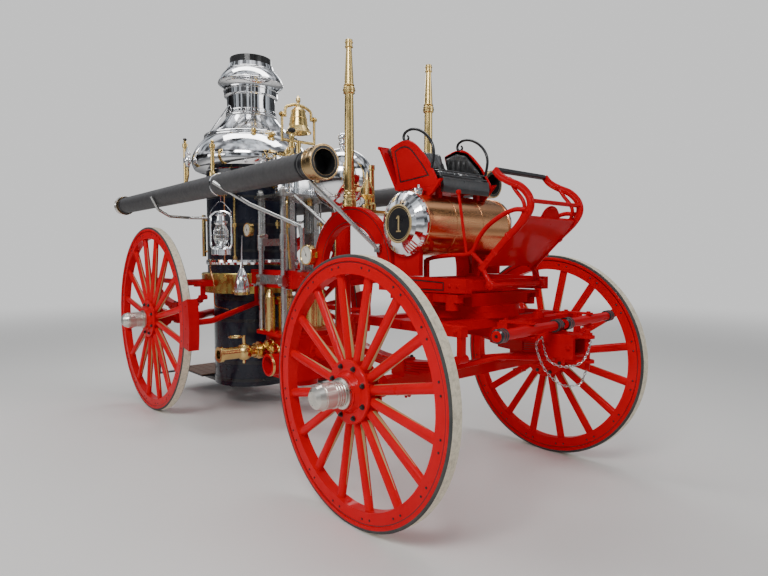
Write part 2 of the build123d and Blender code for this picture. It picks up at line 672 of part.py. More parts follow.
def smoke_stack():
    def spot(place):
        return (NECK_RADIUS + place[0] * (STACK_FLARE - NECK_RADIUS), HOOD_TOP + place[1] * (STACK_TOP - HOOD_TOP))
    neck, widest, rim = ([spot(p) for p in points] for points in (STACK_NECK, STACK_WIDEST, STACK_RIM))
    edges = chain([(LINER_OUTER, HOOD_TOP)] + neck)
    edges += [ThreePointArc(neck[-1], spot(STACK_CURVE), widest[0])] + chain(widest)
    edges += [ThreePointArc(widest[-1], spot(STACK_CAP), rim[0])]
    edges += chain(rim + [(LINER_OUTER, STACK_TOP), (LINER_OUTER, HOOD_TOP)])
    return revolved(edges, BOILER_X)


def stack_liner():
    foot = HOOD_TOP - 30
    return turned([(LINER_INNER, foot), (LINER_OUTER, foot), (LINER_OUTER, LINER_TOP), (LINER_INNER, LINER_TOP)], BOILER_X)


def fire_door():
    face = BOILER_X - FIREBOX_RADIUS - DOOR_SEAT - 0.5
    outer = face - DOOR_THICK
    plate = block(outer, face, -DOOR_HALF, DOOR_HALF, DOOR_BOTTOM, DOOR_TOP)
    middle = (DOOR_BOTTOM + DOOR_TOP) / 2
    handle = rod((outer, -DOOR_HALF + 30, middle), (outer - 40, -DOOR_HALF + 30, middle), 8)
    knuckle = rod((outer, DOOR_HALF, DOOR_BOTTOM), (outer, DOOR_HALF, DOOR_TOP), 9)
    return fused([plate, handle, knuckle])


def boiler_fittings():
    """Water column, valve stems and the steam pipe with its throttle valve."""
    angle = radians(229)
    x, y = BOILER_X + (SHELL_RADIUS + 40) * cos(angle), (SHELL_RADIUS + 40) * sin(angle)
    taps = [from_shell(x, y, z, 9) for z in (1150, 1390)]
    pieces = [fused([rod((x, y, 1110), (x, y, 1430), 15)] + taps)]
    # Each stem: its place, its foot and its top
    for x, y, low, high in ((-2343, -454, 1590, 1968), (-1942, -424, 1640, 1912)):
        arm = from_shell(x, y, low + 16, 13)
        valve = turned([(0, low), (20, low + 4), (24, low + 16), (24, low + 44), (14, low + 60), (14, high - 60), (20, high - 52),
                        (20, high - 30), (9, high - 22), (12, high - 8), (6, high), (0, high)], x, y)
        pieces.append(fused([arm, valve]))
    pipe_z, end_x = 1640, ENGINE_X + CHEST_BACK
    valve_x = end_x - 46
    pipe = from_shell(end_x, 0, pipe_z, 30)
    flanges = [rod((x, 0, pipe_z), (x + 14, 0, pipe_z), 44) for x in (BOILER_X + SHELL_RADIUS + 5, end_x - 14)]
    body = Pos(valve_x, 0, pipe_z) * Sphere(42)
    bonnet = turned([(0, pipe_z), (26, pipe_z), (26, pipe_z + 66), (33, pipe_z + 68), (33, pipe_z + 80), (14, pipe_z + 88),
                     (8, pipe_z + 98), (8, pipe_z + 196), (24, pipe_z + 198), (24, pipe_z + 208), (0, pipe_z + 212)], valve_x, 0)
    pieces.append(fused([pipe, body, bonnet] + flanges))
    return pieces


def gauges():
    """Two round gauges, one on the arch's foot and one on an arm from the shell."""
    arch_x, arch_z = -905, 1118
    bracket = block(arch_x, arch_x + 70, -RAIL_SIDE - 8, -RAIL_SIDE, arch_z - 16, arch_z + 16)
    face = rod((arch_x, -RAIL_SIDE - 6, arch_z), (arch_x, -RAIL_SIDE - 38, arch_z), 58)
    x, y, z = -1759, -250, 1293
    dial = rod((x, y + 16, z), (x, y - 16, z), 48)
    return [fused([face, bracket]), fused([dial, from_shell(x, y + 10, z, 9)])]


# Engine
def steam_cylinders():
    base = PLATE_BOTTOM + PLATE_THICK
    top = CYLINDER_TOP + HEAD_THICK
    bodies = []
    for s in (-1, 1):
        barrel = turned([(0, base), (HEAD_RADIUS, base), (HEAD_RADIUS, base + 14), (CYLINDER_RADIUS, base + 18),
                         (CYLINDER_RADIUS, CYLINDER_TOP - 4), (HEAD_RADIUS, CYLINDER_TOP), (HEAD_RADIUS, top - 8),
                         (HEAD_RADIUS - 20, top), (32, top + HEAD_BOSS), (0, top + HEAD_BOSS)],
                        ENGINE_X, s * CYLINDER_Y)
        bodies.append(barrel)
    chest = block(ENGINE_X - 60, ENGINE_X + 60, -CYLINDER_Y, CYLINDER_Y, base, CYLINDER_TOP - 20)
    behind = block(ENGINE_X + CHEST_BACK, ENGINE_X - 60, -70, 70, base, CYLINDER_TOP - 60)
    body = fused(bodies + [chest, behind])
    bores = [rod((ENGINE_X, s * CYLINDER_Y, base - 1), (ENGINE_X, s * CYLINDER_Y, CYLINDER_TOP - 2), ROD_RADIUS + RUNNING_GAP)
             for s in (-1, 1)]
    return body.cut(*bores)


def engine_frame():
    """Top plate, columns with clamps on the rails, bridges, crosshead guides and the braces to the arches."""
    plate = block(ENGINE_X - PLATE_X, ENGINE_X + PLATE_X, -PLATE_Y, PLATE_Y, PLATE_BOTTOM, PLATE_BOTTOM + PLATE_THICK)
    plate = fillet(plate.edges().filter_by(Axis.Z), 30)
    columns = []
    for i in (-1, 1):
        x = ENGINE_X + i * COLUMN_X
        column = rod((x, -COLUMN_Y, BARREL_BOTTOM), (x, -COLUMN_Y, PLATE_BOTTOM), COLUMN_RADIUS)
        sleeve = rod((x, -COLUMN_Y, SLEEVE_LOW), (x, -COLUMN_Y, SLEEVE_HIGH), SLEEVE_RADIUS)
        clamp = block(x - SLEEVE_RADIUS, x + SLEEVE_RADIUS, -COLUMN_Y - SLEEVE_RADIUS, -ENGINE_RAIL_Y - RAIL_WIDE / 2,
                      CLAMP_LOW, CLAMP_HIGH)
        columns += [column, sleeve, clamp]
    rail_face = -ENGINE_RAIL_Y - RAIL_WIDE / 2
    shield = block(ENGINE_X - COLUMN_X, ENGINE_X + COLUMN_X, rail_face - 10, rail_face, CLAMP_LOW + 9, CLAMP_HIGH - 5)
    bridge = block(ENGINE_X - COLUMN_X, ENGINE_X + COLUMN_X, -COLUMN_Y - 8, -COLUMN_Y + 8, SLEEVE_LOW + 25, SLEEVE_HIGH - 25)
    boss_x = ENGINE_X - COLUMN_X + 60
    boss = rod((boss_x - 34, -COLUMN_Y - 12, SLEEVE_HIGH - 4), (boss_x + 34, -COLUMN_Y - 12, SLEEVE_HIGH - 4), 14)
    lugs = block(boss_x - 20, boss_x + 20, -COLUMN_Y - 8, -COLUMN_Y + 8, SLEEVE_HIGH - 30, SLEEVE_HIGH)
    valve_rods = [rod((boss_x + d, -COLUMN_Y - 12, SLEEVE_HIGH), (boss_x + d, -COLUMN_Y - 12, PLATE_BOTTOM + 1), 6)
                  for d in (-18, 12)]
    brace = rod((ENGINE_X + PLATE_X - 12, -150, PLATE_BOTTOM + 8), (ARCH_X, -RAIL_Y, ARCH_Z + 110), 11)
    brace = brace - arch_disc(ARCH_OUTER + RUNNING_GAP)
    sides = both(fused(columns + [shield, bridge, boss, lugs] + valve_rods + [brace]))
    inner = COLUMN_X - 28
    low, high = BEAM_BOTTOM + 5, BEAM_BOTTOM + 25
    tie = block(ENGINE_X - inner, ENGINE_X + inner, -CYLINDER_Y - 45, CYLINDER_Y + 45, low, high)
    near, far = CROSSHEAD_HALF + GUIDE_GAP, CROSSHEAD_HALF + GUIDE_GAP + GUIDE_THICK
    guides = [block(ENGINE_X + a, ENGINE_X + b, y - 20, y + 20, high, PLATE_BOTTOM)
              for a, b in ((-far, -near), (near, far)) for y in (-CYLINDER_Y, CYLINDER_Y)]
    body = fused([plate, tie] + sides + guides)
    bores = [rod((ENGINE_X, s * CYLINDER_Y, BEAM_BOTTOM), (ENGINE_X, s * CYLINDER_Y, PLATE_BOTTOM + 2 * PLATE_THICK),
                 ROD_RADIUS + RUNNING_GAP) for s in (-1, 1)]
    return body.cut(*bores)


def crosshead(side):
    y = side * CYLINDER_Y
    low = CROSSHEAD_Z - CROSSHEAD_TALL / 2
    slider = block(ENGINE_X - CROSSHEAD_HALF, ENGINE_X + CROSSHEAD_HALF, y - 26, y + 26, low, low + CROSSHEAD_TALL)
    piston = rod((ENGINE_X, y, low), (ENGINE_X, y, CYLINDER_TOP - STROKE_HALF - 12), ROD_RADIUS)
    pump = rod((ENGINE_X, y, BARREL_TOP - STROKE_HALF - 20), (ENGINE_X, y, low), ROD_RADIUS)
    return fused([slider, piston, pump])


def pump_body():
    flange_low = BARREL_BOTTOM - PUMP_FLANGE_THICK
    case = block(ENGINE_X + PUMP_BACK, ENGINE_X + PUMP_FRONT, -PUMP_Y, PUMP_Y, PUMP_BOTTOM, flange_low)
    case = fillet(case.edges().filter_by(Axis.Z), 45)
    bowl = Pos(ENGINE_X, 0, PUMP_BOTTOM - 32) * Cylinder(120, 65)
    flange = block(ENGINE_X - PUMP_FLANGE_X, ENGINE_X + PUMP_FLANGE_X, -PUMP_FLANGE_Y, PUMP_FLANGE_Y, flange_low, BARREL_BOTTOM)
    flange = fillet(flange.edges().filter_by(Axis.Z), 20)
    x = ENGINE_X + SUCTION_X
    suction = both(rod((x, -PUMP_Y, SUCTION_Z), (x, -PUMP_Y - 90, SUCTION_Z), SUCTION_BORE + 15))
    out_x = ENGINE_X + OUTLET_X
    elbows = both(rod((out_x, -PUMP_Y, OUTLET_Z), (out_x, -PUMP_Y - 60, OUTLET_Z), 46))
    body = fused([case, bowl, flange] + suction + elbows)
    bores = both(rod((x, -PUMP_Y - 20, SUCTION_Z), (x, -PUMP_Y - 91, SUCTION_Z), SUCTION_BORE))
    return body.cut(*bores)


def discharge_pipe():
    """The red pipe from the pump's front up to the air chamber."""
    foot = ENGINE_X + PUMP_FRONT
    top = AIR_Z - AIR_RADIUS - 14
    main = rod((foot, 0, PIPE_Z), (PIPE_X, 0, PIPE_Z), PIPE_RADIUS)
    flange = rod((foot, 0, PIPE_Z), (foot + 18, 0, PIPE_Z), PIPE_RADIUS + 22)
    knee = Pos(PIPE_X, 0, PIPE_Z) * Sphere(PIPE_RADIUS + 4)
    riser = rod((PIPE_X, 0, PIPE_Z), (PIPE_X, 0, top), PIPE_RADIUS - 6)
    collar = rod((PIPE_X, 0, top - 18), (PIPE_X, 0, top), PIPE_RADIUS + 22)
    return fused([main, flange, knee, riser, collar])


def pump_outlet():
    """A brass outlet valve on the pump's near side."""
    x, start, end = ENGINE_X + OUTLET_X, -PUMP_Y - 60, -OUTLET_END

    def ring(y0, y1, radius):
        return rod((x, y0, OUTLET_Z), (x, y1, OUTLET_Z), radius)
    stem_y = (start + end) / 2 + 30
    stem = rod((x, stem_y, OUTLET_Z - 75), (x, stem_y, OUTLET_Z + 110), 10)
    body = Pos(x, stem_y, OUTLET_Z) * Sphere(56)
    valve = fused([ring(start, end, 40), ring(start, start - 16, 58), ring(end + 25, end, 50), stem, body])
    return valve - ring(end + 100, end - 1, OUTLET_BORE)


def pump_brass():
    pieces = both(pump_outlet())
    for s in (-1, 1):
        barrel = turned([(ROD_RADIUS + RUNNING_GAP, BARREL_BOTTOM), (BARREL_RADIUS, BARREL_BOTTOM), (BARREL_RADIUS, BARREL_TOP - 22),
                         (BARREL_RADIUS + 10, BARREL_TOP - 20), (BARREL_RADIUS + 10, BARREL_TOP - 4), (BARREL_RADIUS + 4, BARREL_TOP),
                         (ROD_RADIUS + RUNNING_GAP, BARREL_TOP)], ENGINE_X, s * CYLINDER_Y)
        vessel_top = ENGINE_RAIL_BOTTOM - 10
        vessel = turned([(0, BARREL_BOTTOM), (34, BARREL_BOTTOM), (34, vessel_top - 50), (24, vessel_top - 24), (12, vessel_top),
                         (0, vessel_top)], ENGINE_X - 50, s * (PUMP_Y + 5))
        pieces += [barrel, vessel]
        for x, z in ((-20, 525), (45, 500), (170, 510)):
            pieces.append(rod((ENGINE_X + x, s * PUMP_Y, z), (ENGINE_X + x, s * (PUMP_Y + 45), z), 27))
    return pieces


def air_chamber():
    ball = Pos(PIPE_X, 0, AIR_Z) * Sphere(AIR_RADIUS)
    foot = rod((PIPE_X, 0, AIR_Z - AIR_RADIUS - 14), (PIPE_X, 0, AIR_Z - AIR_RADIUS + 30), PIPE_RADIUS + 22)
    stem = rod((PIPE_X, 0, AIR_Z), (PIPE_X, 0, AIR_Z + AIR_RADIUS + 60), 16)
    knobs = [Pos(PIPE_X, 0, AIR_Z + AIR_RADIUS + h) * Sphere(r) for h, r in ((30, 26), (68, 30))]
    return fused([ball, foot, stem] + knobs)


# Bell
def bell():
    """The bell with the arched yoke over it and the yoke's two pins."""
    outer = [(0, BELL_CROWN_Z - 6), (30, BELL_CROWN_Z - 8), (48, BELL_CROWN_Z - 26), (56, BELL_PIVOT_Z - 6), (66, BELL_MOUTH_Z + 44),
             (BELL_MOUTH, BELL_MOUTH_Z)]
    inner = [(BELL_MOUTH - 8, BELL_MOUTH_Z), (60, BELL_MOUTH_Z + 44), (50, BELL_PIVOT_Z - 6), (42, BELL_CROWN_Z - 30),
             (24, BELL_CROWN_Z - 16), (0, BELL_CROWN_Z - 16)]
    cup = turned(outer + inner, BELL_X)
    top = BELL_CROWN_Z + BELL_ARCH_RADIUS
    y = BELL_ARCH_Y
    arch = bent([(BELL_X, -y, BELL_PIVOT_Z - 14), (BELL_X, -y, top - 26), (BELL_X, -y + 70, top), (BELL_X, y - 70, top),
                 (BELL_X, y, top - 26), (BELL_X, y, BELL_PIVOT_Z - 14)], 34, BELL_ARCH_RADIUS)
    pins = [rod((BELL_X, s * y, BELL_PIVOT_Z), (BELL_X, s * (BELL_POST_Y + 12), BELL_PIVOT_Z), BELL_PIN) for s in (-1, 1)]
    crown = rod((BELL_X, 0, BELL_CROWN_Z - 14), (BELL_X, 0, top), 14)
    finial = turned([(0, top), (12, top), (10, top + 14), (16, top + 30), (15, top + 46), (6, top + 58), (0, top + 68)], BELL_X)
    clapper = rod((BELL_X, 0, BELL_MOUTH_Z + 14), (BELL_X, 0, BELL_CROWN_Z - 12), 5)
    ball = Pos(BELL_X, 0, BELL_MOUTH_Z + 18) * Sphere(15)
    return fused([cup, arch, crown, finial, clapper, ball] + pins)


def bell_bracket():
    foot_z = CYLINDER_TOP + HEAD_THICK + HEAD_BOSS
    foot = block(BELL_X - 24, BELL_X + 24, -CYLINDER_Y - 22, CYLINDER_Y + 22, foot_z, foot_z + 14)
    post = rod((BELL_X, 0, foot_z), (BELL_X, 0, BELL_BAR_Z), 17)
    y = BELL_POST_Y
    bar = rod((BELL_X, -y, BELL_BAR_Z), (BELL_X, y, BELL_BAR_Z), 10)
    posts = [rod((BELL_X, s * y, BELL_BAR_Z - 10), (BELL_X, s * y, BELL_PIVOT_Z), 9) for s in (-1, 1)]
    bosses = [rod((BELL_X, s * (y - 9), BELL_PIVOT_Z), (BELL_X, s * (y + 9), BELL_PIVOT_Z), 18) for s in (-1, 1)]
    bearing = rod((BELL_X, -y - 12, BELL_PIVOT_Z), (BELL_X, y + 12, BELL_PIVOT_Z), BELL_PIN + RUNNING_GAP)
    return fused([foot, post, bar] + posts + bosses) - bearing


# Things carried on the arches and the rails
def playpipes():
    pipe = turned([(0, 1352), (36, 1352), (36, 1402), (30, 1412), (30, 1436), (27, 1444), (23, 1950), (31, 1956), (31, 1984),
                   (25, 1992), (15, 2186), (19, 2192), (19, PLAYPIPE_TOP), (0, PLAYPIPE_TOP)], PLAYPIPE_X, -PLAYPIPE_Y)
    return both(pipe - arch_disc(ARCH_OUTER))


def shelf_finials():
    """The shelf between the arches, with a brass acorn and a spare nozzle."""
    top = ARCH_Z + ARCH_OUTER - 10
    shelf = block(-690, -545, -RAIL_Y + RAIL_WIDE / 2, RAIL_Y - RAIL_WIDE / 2, top - 16, top)
    acorn = turned([(0, top), (30, top), (30, top + 26), (16, top + 36), (16, top + 58), (38, top + 82), (34, top + 118),
                    (12, top + 166), (0, top + 216)], -590, -152)
    nozzle = turned([(0, top), (24, top), (24, top + 40), (17, top + 50), (13, top + 226), (17, top + 234), (17, top + 258),
                     (0, top + 258)], -645, -73)
    return fused([shelf, acorn, nozzle])


def tank_line(extra=0):
    """The tank's own cylinder, longer at both ends by an amount."""
    return (TANK_X, -TANK_BARREL - extra, TANK_Z), (TANK_X, TANK_BARREL + extra, TANK_Z)


def tank_barrel():
    return rod(*tank_line(), TANK_RADIUS)


def tank_ends():
    depth = TANK_END - TANK_BARREL
    profile = [(0, 0), (TANK_RADIUS + 4, 0), (TANK_RADIUS + 4, 10), (TANK_RADIUS - 6, 22), (TANK_RADIUS - 36, depth - 10), (90, depth - 2),
               (84, depth - 6), (0, depth - 4)]
    dome = Pos(TANK_X, -TANK_BARREL, TANK_Z) * Rot(90, 0, 0) * turned(profile)
    return both(dome)


def arm_panel():
    """The outline of one arm of the seat."""
    return outline((-337, 1652), (-292, 1501), (-290, SEAT_FLOOR), (-24, SEAT_FLOOR), (-31, 1473), (-90, 1564), (-178, 1652), (-249, 1672))


def across_seat(face, half):
    """A flat outline made into a piece across the seat."""
    return upright(face, 0, 2 * half)


def seat_frame():
    """Arm panels and their brackets, the floor, the back board, the legs and the saddles under the tank."""
    low = SEAT_FLOOR
    y = -SEAT_Y - SEAT_PANEL / 2
    arms = both(upright(arm_panel(), y, SEAT_PANEL))
    bracket = outline((-110, low - 62), (-92, low - 62), (-46, low - 30), (11, low + 28), (-10, low + 28), (-31, low + 4), (-110, low + 4))
    brackets = both(upright(bracket, y, SEAT_PANEL))
    floor = block(-310, CUSHION_FRONT, -SEAT_Y, SEAT_Y, low, low + 14)
    back = across_seat(outline((-318, low), (-303, low), (-432, 1668), (-446, 1664)), SEAT_Y)
    legs = [leg for x in (TANK_X - 66, TANK_X + 42) for leg in both(block(x, x + 24, -150, -126, TANK_Z + 60, low))]
    saddles = both(block(TANK_X - 85, TANK_X + 85, -RAIL_Y - 12, -RAIL_Y + 12, RAIL_TOP, TANK_Z - 70))
    body = fused(arms + brackets + [floor, back] + legs) - rod(*tank_line(), TANK_RADIUS)
    rests = [s - rod(*tank_line(9), TANK_RADIUS + RUNNING_GAP) for s in saddles]
    return [body] + rests


def seat_cushions():
    """The seat and back cushions and the pads inside the arms."""
    half = SEAT_Y - SEAT_PAD - 2
    low = SEAT_FLOOR + 14.3
    seat = block(-284, CUSHION_FRONT, -half, half, low, CUSHION_TOP)
    seat = fillet(seat.edges().filter_by(Axis.Y), 16)
    back = across_seat(outline((-351.3, 1526), (-274, 1528), (-344, 1668), (-428.2, 1662)), half)
    back = fillet(back.edges().filter_by(Axis.Y), 12)
    pad = outline((-330, 1640), (-286, 1501), (-284, low), (-30, low), (-38, 1473), (-98, 1558), (-184, 1642), (-249, 1660))
    pads = both(upright(pad, -SEAT_Y + SEAT_PAD / 2, SEAT_PAD - 1))
    return [seat, back] + pads


def seat_irons():
    """Scrolled black rails on the arms."""
    y = -SEAT_Y - SEAT_PANEL / 2
    scroll = bent([(-248, y, 1668), (-246, y, 1712), (-203, y, 1724), (-131, y, 1706), (-70, y, 1662), (-46, y, 1610), (-60, y, 1516)],
                  14, 7)
    return both(scroll - upright(arm_panel(), y, SEAT_PANEL))


def footboard():
    """Side rails with their curls and lower tubes, the board and its crest, the step bar and the hand lever."""
    y = -FOOT_Y
    rail = bent_bar([(HANDRAIL_X, y, HANDRAIL_Z), (356, y, 1426), (430, y, 1396), (484, y, 1336), (472, y, 1262), (394, y, 1196),
                     (244, y, 1054)], 28, FOOT_RAIL)
    tube = bent([(-100, y, 1092), (-13, y, 1112), (175, y, 1119), (203, y, 1172), (285, y, 1250), (404, y, 1306)], 26, 10)
    curl = bent([(376, y, 1416), (416, y, 1350), (450, y, 1312), (432, y, 1262), (392, y, 1212)], 18, 8)
    post = block(-112, -88, y - 10, y + 10, RAIL_TOP - 14, 1096)
    hanger = rod((244, y, 1058), (STEP_X, y, STEP_Z), 10)
    link = rod((180, y, 1124), (250, y, 1066), 9)
    boss = rod((STEP_X, y - 14, STEP_Z), (STEP_X, y + 14, STEP_Z), 20)
    sides = both(fused([rail, tube, curl, post, hanger, link, boss]))
    step = rod((STEP_X, y, STEP_Z), (STEP_X, -y, STEP_Z), 11)
    board = across_seat(outline((246, 1080), (256, 1066), (440, 1234), (430, 1248)), FOOT_Y - 8)
    lip = across_seat(outline((430, 1248), (440, 1234), (464, 1266), (452, 1272)), FOOT_Y - 8)
    crest = rod((436, 0, 1258), (450, 0, 1258), 56)
    crest = crest - block(400, 500, -100, 100, 1150, 1256)
    bar = rod((478, -FOOT_Y, 1332), (478, FOOT_Y, 1332), 9)
    cross = block(-112, -88, -RAIL_Y + RAIL_WIDE / 2, RAIL_Y - RAIL_WIDE / 2, RAIL_TOP - 40, RAIL_TOP - 14)
    lever = rod((149, y, 1116), (99, y, 1398), 7) + Pos(99, y, 1398) * Sphere(11)
    return fused(sides + [step, board, lip, crest, bar, cross, lever])


def handrail():
    half = FOOT_Y - FOOT_RAIL[0] / 2 - RUNNING_GAP
    return rod((HANDRAIL_X, -half, HANDRAIL_Z), (HANDRAIL_X, half, HANDRAIL_Z), 12)


# Suction hoses
def hose_point(x):
    """The centre of the near hose at x."""
    return (x, -HOSE_Y, HOSE_Z)


def suction_hoses():
    return both(rod(hose_point(HOSE_FRONT_X), hose_point(HOSE_REAR_X), HOSE_RADIUS))


def hose_couplings():
    # Each ring of the front coupling: where it starts and ends, and its radius
    rings = [(0, 30, COUPLING_RADIUS - 12), (30, 74, COUPLING_RADIUS - 6), (74, COUPLING_LONG, COUPLING_RADIUS)]
    front = fused([rod(hose_point(HOSE_FRONT_X + a), hose_point(HOSE_FRONT_X + b), r) for a, b, r in rings])
    bore = rod(hose_point(HOSE_FRONT_X + 10), hose_point(HOSE_FRONT_X + COUPLING_LONG + 1), COUPLING_BORE)
    rear = rod(hose_point(HOSE_REAR_X), hose_point(HOSE_REAR_X - COUPLING_BACK), COUPLING_RADIUS - 6)
    return both(front - bore) + both(rear)


def hose_cradles():
    """Hooks and struts that carry the hoses: rear hook, middle arm and front strut."""
    hose = rod(hose_point(0), hose_point(-3600), HOSE_RADIUS + RUNNING_GAP)
    y = -HOSE_Y
    out = HOSE_RADIUS + 22
    # The rear hook leaves the shell square to it.
    away = (-190, -420)
    rear_x, rear_y = BOILER_X + away[0], away[1]
    share = (SHELL_RADIUS + RUNNING_GAP) / sqrt(away[0] ** 2 + away[1] ** 2)
    rear = bent([(BOILER_X + away[0] * share, away[1] * share, 1400), (rear_x, rear_y, 1400), (rear_x, -570, 1404),
                 (rear_x, y - 40, 1450), (rear_x, y - out, HOSE_Z)], 36, 11)
    post_x, post_y = -985, -316
    middle = bent([(post_x, post_y, 1200), (post_x - 12, post_y - 10, 1286), (-1190, -540, 1412), (-1330, y - out, HOSE_Z)], 26, 11)
    foot = rod((post_x, post_y, RAIL_TOP), (post_x, post_y, 1276), 14)
    pad = block(post_x - 20, post_x + 20, post_y - 20, -262, RAIL_TOP, RAIL_TOP + 12)
    side = -RAIL_SIDE - 16
    strut = rod((-310, side + 3, 1150), (-470, y + 6, HOSE_Z - HOSE_RADIUS - 4), 11)
    plate = block(-330, -290, side, -RAIL_SIDE, 1130, 1170)
    return both(rear - hose) + both(fused([middle, foot, pad]) - hose) + both(fused([strut, plate]) - hose)


def lantern():
    """A tubular lantern on its bail, hung by a hook from a band round the near hose."""
    low = LANTERN_BOTTOM
    tube = 63
    body = turned([(0, low), (58, low), (58, low + 40), (46, low + 52), (30, low + 58), (44, low + 104), (44, low + 150),
                   (28, low + 194), (40, low + 204), (40, low + 224), (30, low + 250), (10, low + 262), (0, low + 262)])
    arm = [(46, low + 36), (tube, low + 62), (tube, low + 236), (34, low + 268)]
    frame = bent([(x, 0, z) for x, z in arm] + [(-x, 0, z) for x, z in reversed(arm)], 18, 6)
    top = low + 322
    bail_side = [(tube, low + 224), (tube, low + 266), (16, top)]
    bail = bent([(x, 0, z) for x, z in bail_side] + [(-x, 0, z) for x, z in reversed(bail_side)], 14, 2.5)
    # The lantern's wide side faces forward and to the right.
    lamp = Pos(LANTERN_X, -HOSE_Y, 0) * Rot(0, 0, 49) * fused([body, frame, bail])
    hook = rod((LANTERN_X, -HOSE_Y, top - 4), (LANTERN_X, -HOSE_Y, HOSE_Z - HOSE_RADIUS - 2), 3)
    band = rod(hose_point(LANTERN_X - 7), hose_point(LANTERN_X + 7), HOSE_RADIUS + 5)
    band = band - rod(hose_point(LANTERN_X - 8), hose_point(LANTERN_X + 8), HOSE_RADIUS + RUNNING_GAP)
    return fused([lamp, hook, band])


def oil_can():
    """The can and the bracket that holds it off the near engine rail."""
    x, y, low = -1700, -338, 852
    can = turned([(0, low), (52, low), (52, low + 20), (40, low + 30), (36, low + 132), (14, low + 178), (8, low + 220),
                  (0, low + 220)], x, y)
    bracket = block(x - 8, x + 8, y + 30, -ENGINE_RAIL_Y - RAIL_WIDE / 2, low + 53, low + 73)
    return fused([can, bracket])


def brake_gear():
    wheel = Pos(REAR_AXLE_X, 0, REAR_RADIUS) * Rot(90, 0, 0) * Cylinder(REAR_RADIUS + SHOE_GAP, 4 * TRACK_HALF)
    inner, outer = REAR_RADIUS + SHOE_GAP, REAR_RADIUS + SHOE_GAP + SHOE_THICK
    shoe = Pos(REAR_AXLE_X, 0, REAR_RADIUS) * upright(sector(inner, outer, -11, 14), -TRACK_HALF, TYRE_WIDTH + 10)
    near = [(BRAKE_X, -TRACK_HALF, BRAKE_Z), (BRAKE_X - 24, -560, BRAKE_Z + 2), (BRAKE_BOW_X + 20, -320, BRAKE_BOW_Z - 40),
            (BRAKE_BOW_X, -ENGINE_RAIL_Y, BRAKE_BOW_Z)]
    beam = bent(near + [(x, -y, z) for x, y, z in reversed(near)], 60, 19)
    hangers = both(block(BRAKE_BOW_X - 14, BRAKE_BOW_X + 14, -ENGINE_RAIL_Y - 8, -ENGINE_RAIL_Y + 8, BRAKE_BOW_Z, ENGINE_RAIL_BOTTOM))
    return fused(both(shoe - wheel) + [beam] + hangers)


def rear_platform():
    low = PLATFORM_Z - 16
    bars = both(block(PLATFORM_REAR, BOILER_X + 80, -PLATFORM_Y, -PLATFORM_Y + 14, low, FIREBOX_BOTTOM))
    cross = [block(x, x + 30, -PLATFORM_Y, PLATFORM_Y, low, FIREBOX_BOTTOM) for x in (PLATFORM_REAR, BOILER_X - 330, BOILER_X + 50)]
    deck_top = FIREBOX_BOTTOM + DECK_THICK
    deck = block(PLATFORM_REAR, BOILER_X - 320, -DECK_HALF, DECK_HALF, FIREBOX_BOTTOM, deck_top)
    strap_x = REAR_AXLE_X + SIDE_BAR_BACK
    straps = both(block(strap_x, strap_x + 20, -SIDE_BAR_Y - 8, -SIDE_BAR_Y + 8, FIREBOX_BOTTOM, SIDE_BAR_BOTTOM))
    tips = both(block(strap_x - 10, strap_x + 30, -SIDE_BAR_Y - 8, -DECK_HALF + 5, FIREBOX_BOTTOM, deck_top))
    return fused(bars + cross + [deck] + straps + tips)


def parts():
    pieces = wheels()
    makers = (crane_neck_frame, rear_frame, fifth_wheel_upper, fifth_wheel_lower, front_axle, front_springs, draft_frame, doubletree,
              rear_axle, rear_springs, rear_platform, brake_gear, boiler_shell, boiler_brass_band, boiler_chrome_jacket,
              smoke_stack, stack_liner, fire_door, steam_cylinders, engine_frame, pump_body, discharge_pipe, pump_brass,
              air_chamber, bell, bell_bracket, playpipes, shelf_finials, tank_barrel, tank_ends, seat_frame, seat_cushions,
              seat_irons, footboard, handrail, suction_hoses, hose_couplings, hose_cradles, lantern, oil_can,
              boiler_fittings, gauges)
    for make in makers:
        pieces[make.__name__] = make()
    for name, side in (("right", -1), ("left", 1)):
        pieces[f"singletree_{name}"] = singletree(side)
        pieces[f"crosshead_{name}"] = crosshead(side)
    return pieces


os.makedirs("parts", exist_ok=True)
for name, shape in parts().items():
    solids = [s for piece in (shape if isinstance(shape, list) else [shape]) for s in piece.solids()]
    solids = [s.translate((FRONT_AXLE_X, 0, 0), transform=True) for s in solids]
    whole = solids[0] if len(solids) == 1 else Compound(children=solids)
    export_step(whole, f"parts/{name}.step")
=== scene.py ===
# The looks of the horse-drawn steam fire engine, in metres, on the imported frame.
import bpy
import bmesh
from itertools import product
from math import sin, cos, pi, radians, exp, sqrt
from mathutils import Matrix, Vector


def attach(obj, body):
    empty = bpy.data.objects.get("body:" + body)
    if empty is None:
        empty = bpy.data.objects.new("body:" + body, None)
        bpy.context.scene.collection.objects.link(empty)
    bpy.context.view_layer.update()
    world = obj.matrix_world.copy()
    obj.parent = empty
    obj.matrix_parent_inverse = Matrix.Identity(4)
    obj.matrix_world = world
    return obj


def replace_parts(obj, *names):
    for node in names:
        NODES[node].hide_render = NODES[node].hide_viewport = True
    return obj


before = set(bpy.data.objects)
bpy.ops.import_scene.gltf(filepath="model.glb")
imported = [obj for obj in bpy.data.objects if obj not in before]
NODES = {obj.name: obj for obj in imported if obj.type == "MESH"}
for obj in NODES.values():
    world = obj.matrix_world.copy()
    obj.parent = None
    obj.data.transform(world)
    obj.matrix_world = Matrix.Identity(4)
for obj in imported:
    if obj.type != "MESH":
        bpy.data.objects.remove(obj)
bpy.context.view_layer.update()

# Places and sizes, as in the model: the front axle's x in metres, the rest in mm from that axle
AXLE = 1.3235
REAR_AXLE_X = -2386
FRONT_RADIUS = 559
REAR_RADIUS = 660
TRACK = 702
TYRE_THICK = 25
TYRE_HALF = 28.5
FELLOE_DEPTH = 55
FELLOE_WIDTH = 49
HUB_FACE = 741
CAP_START = 764
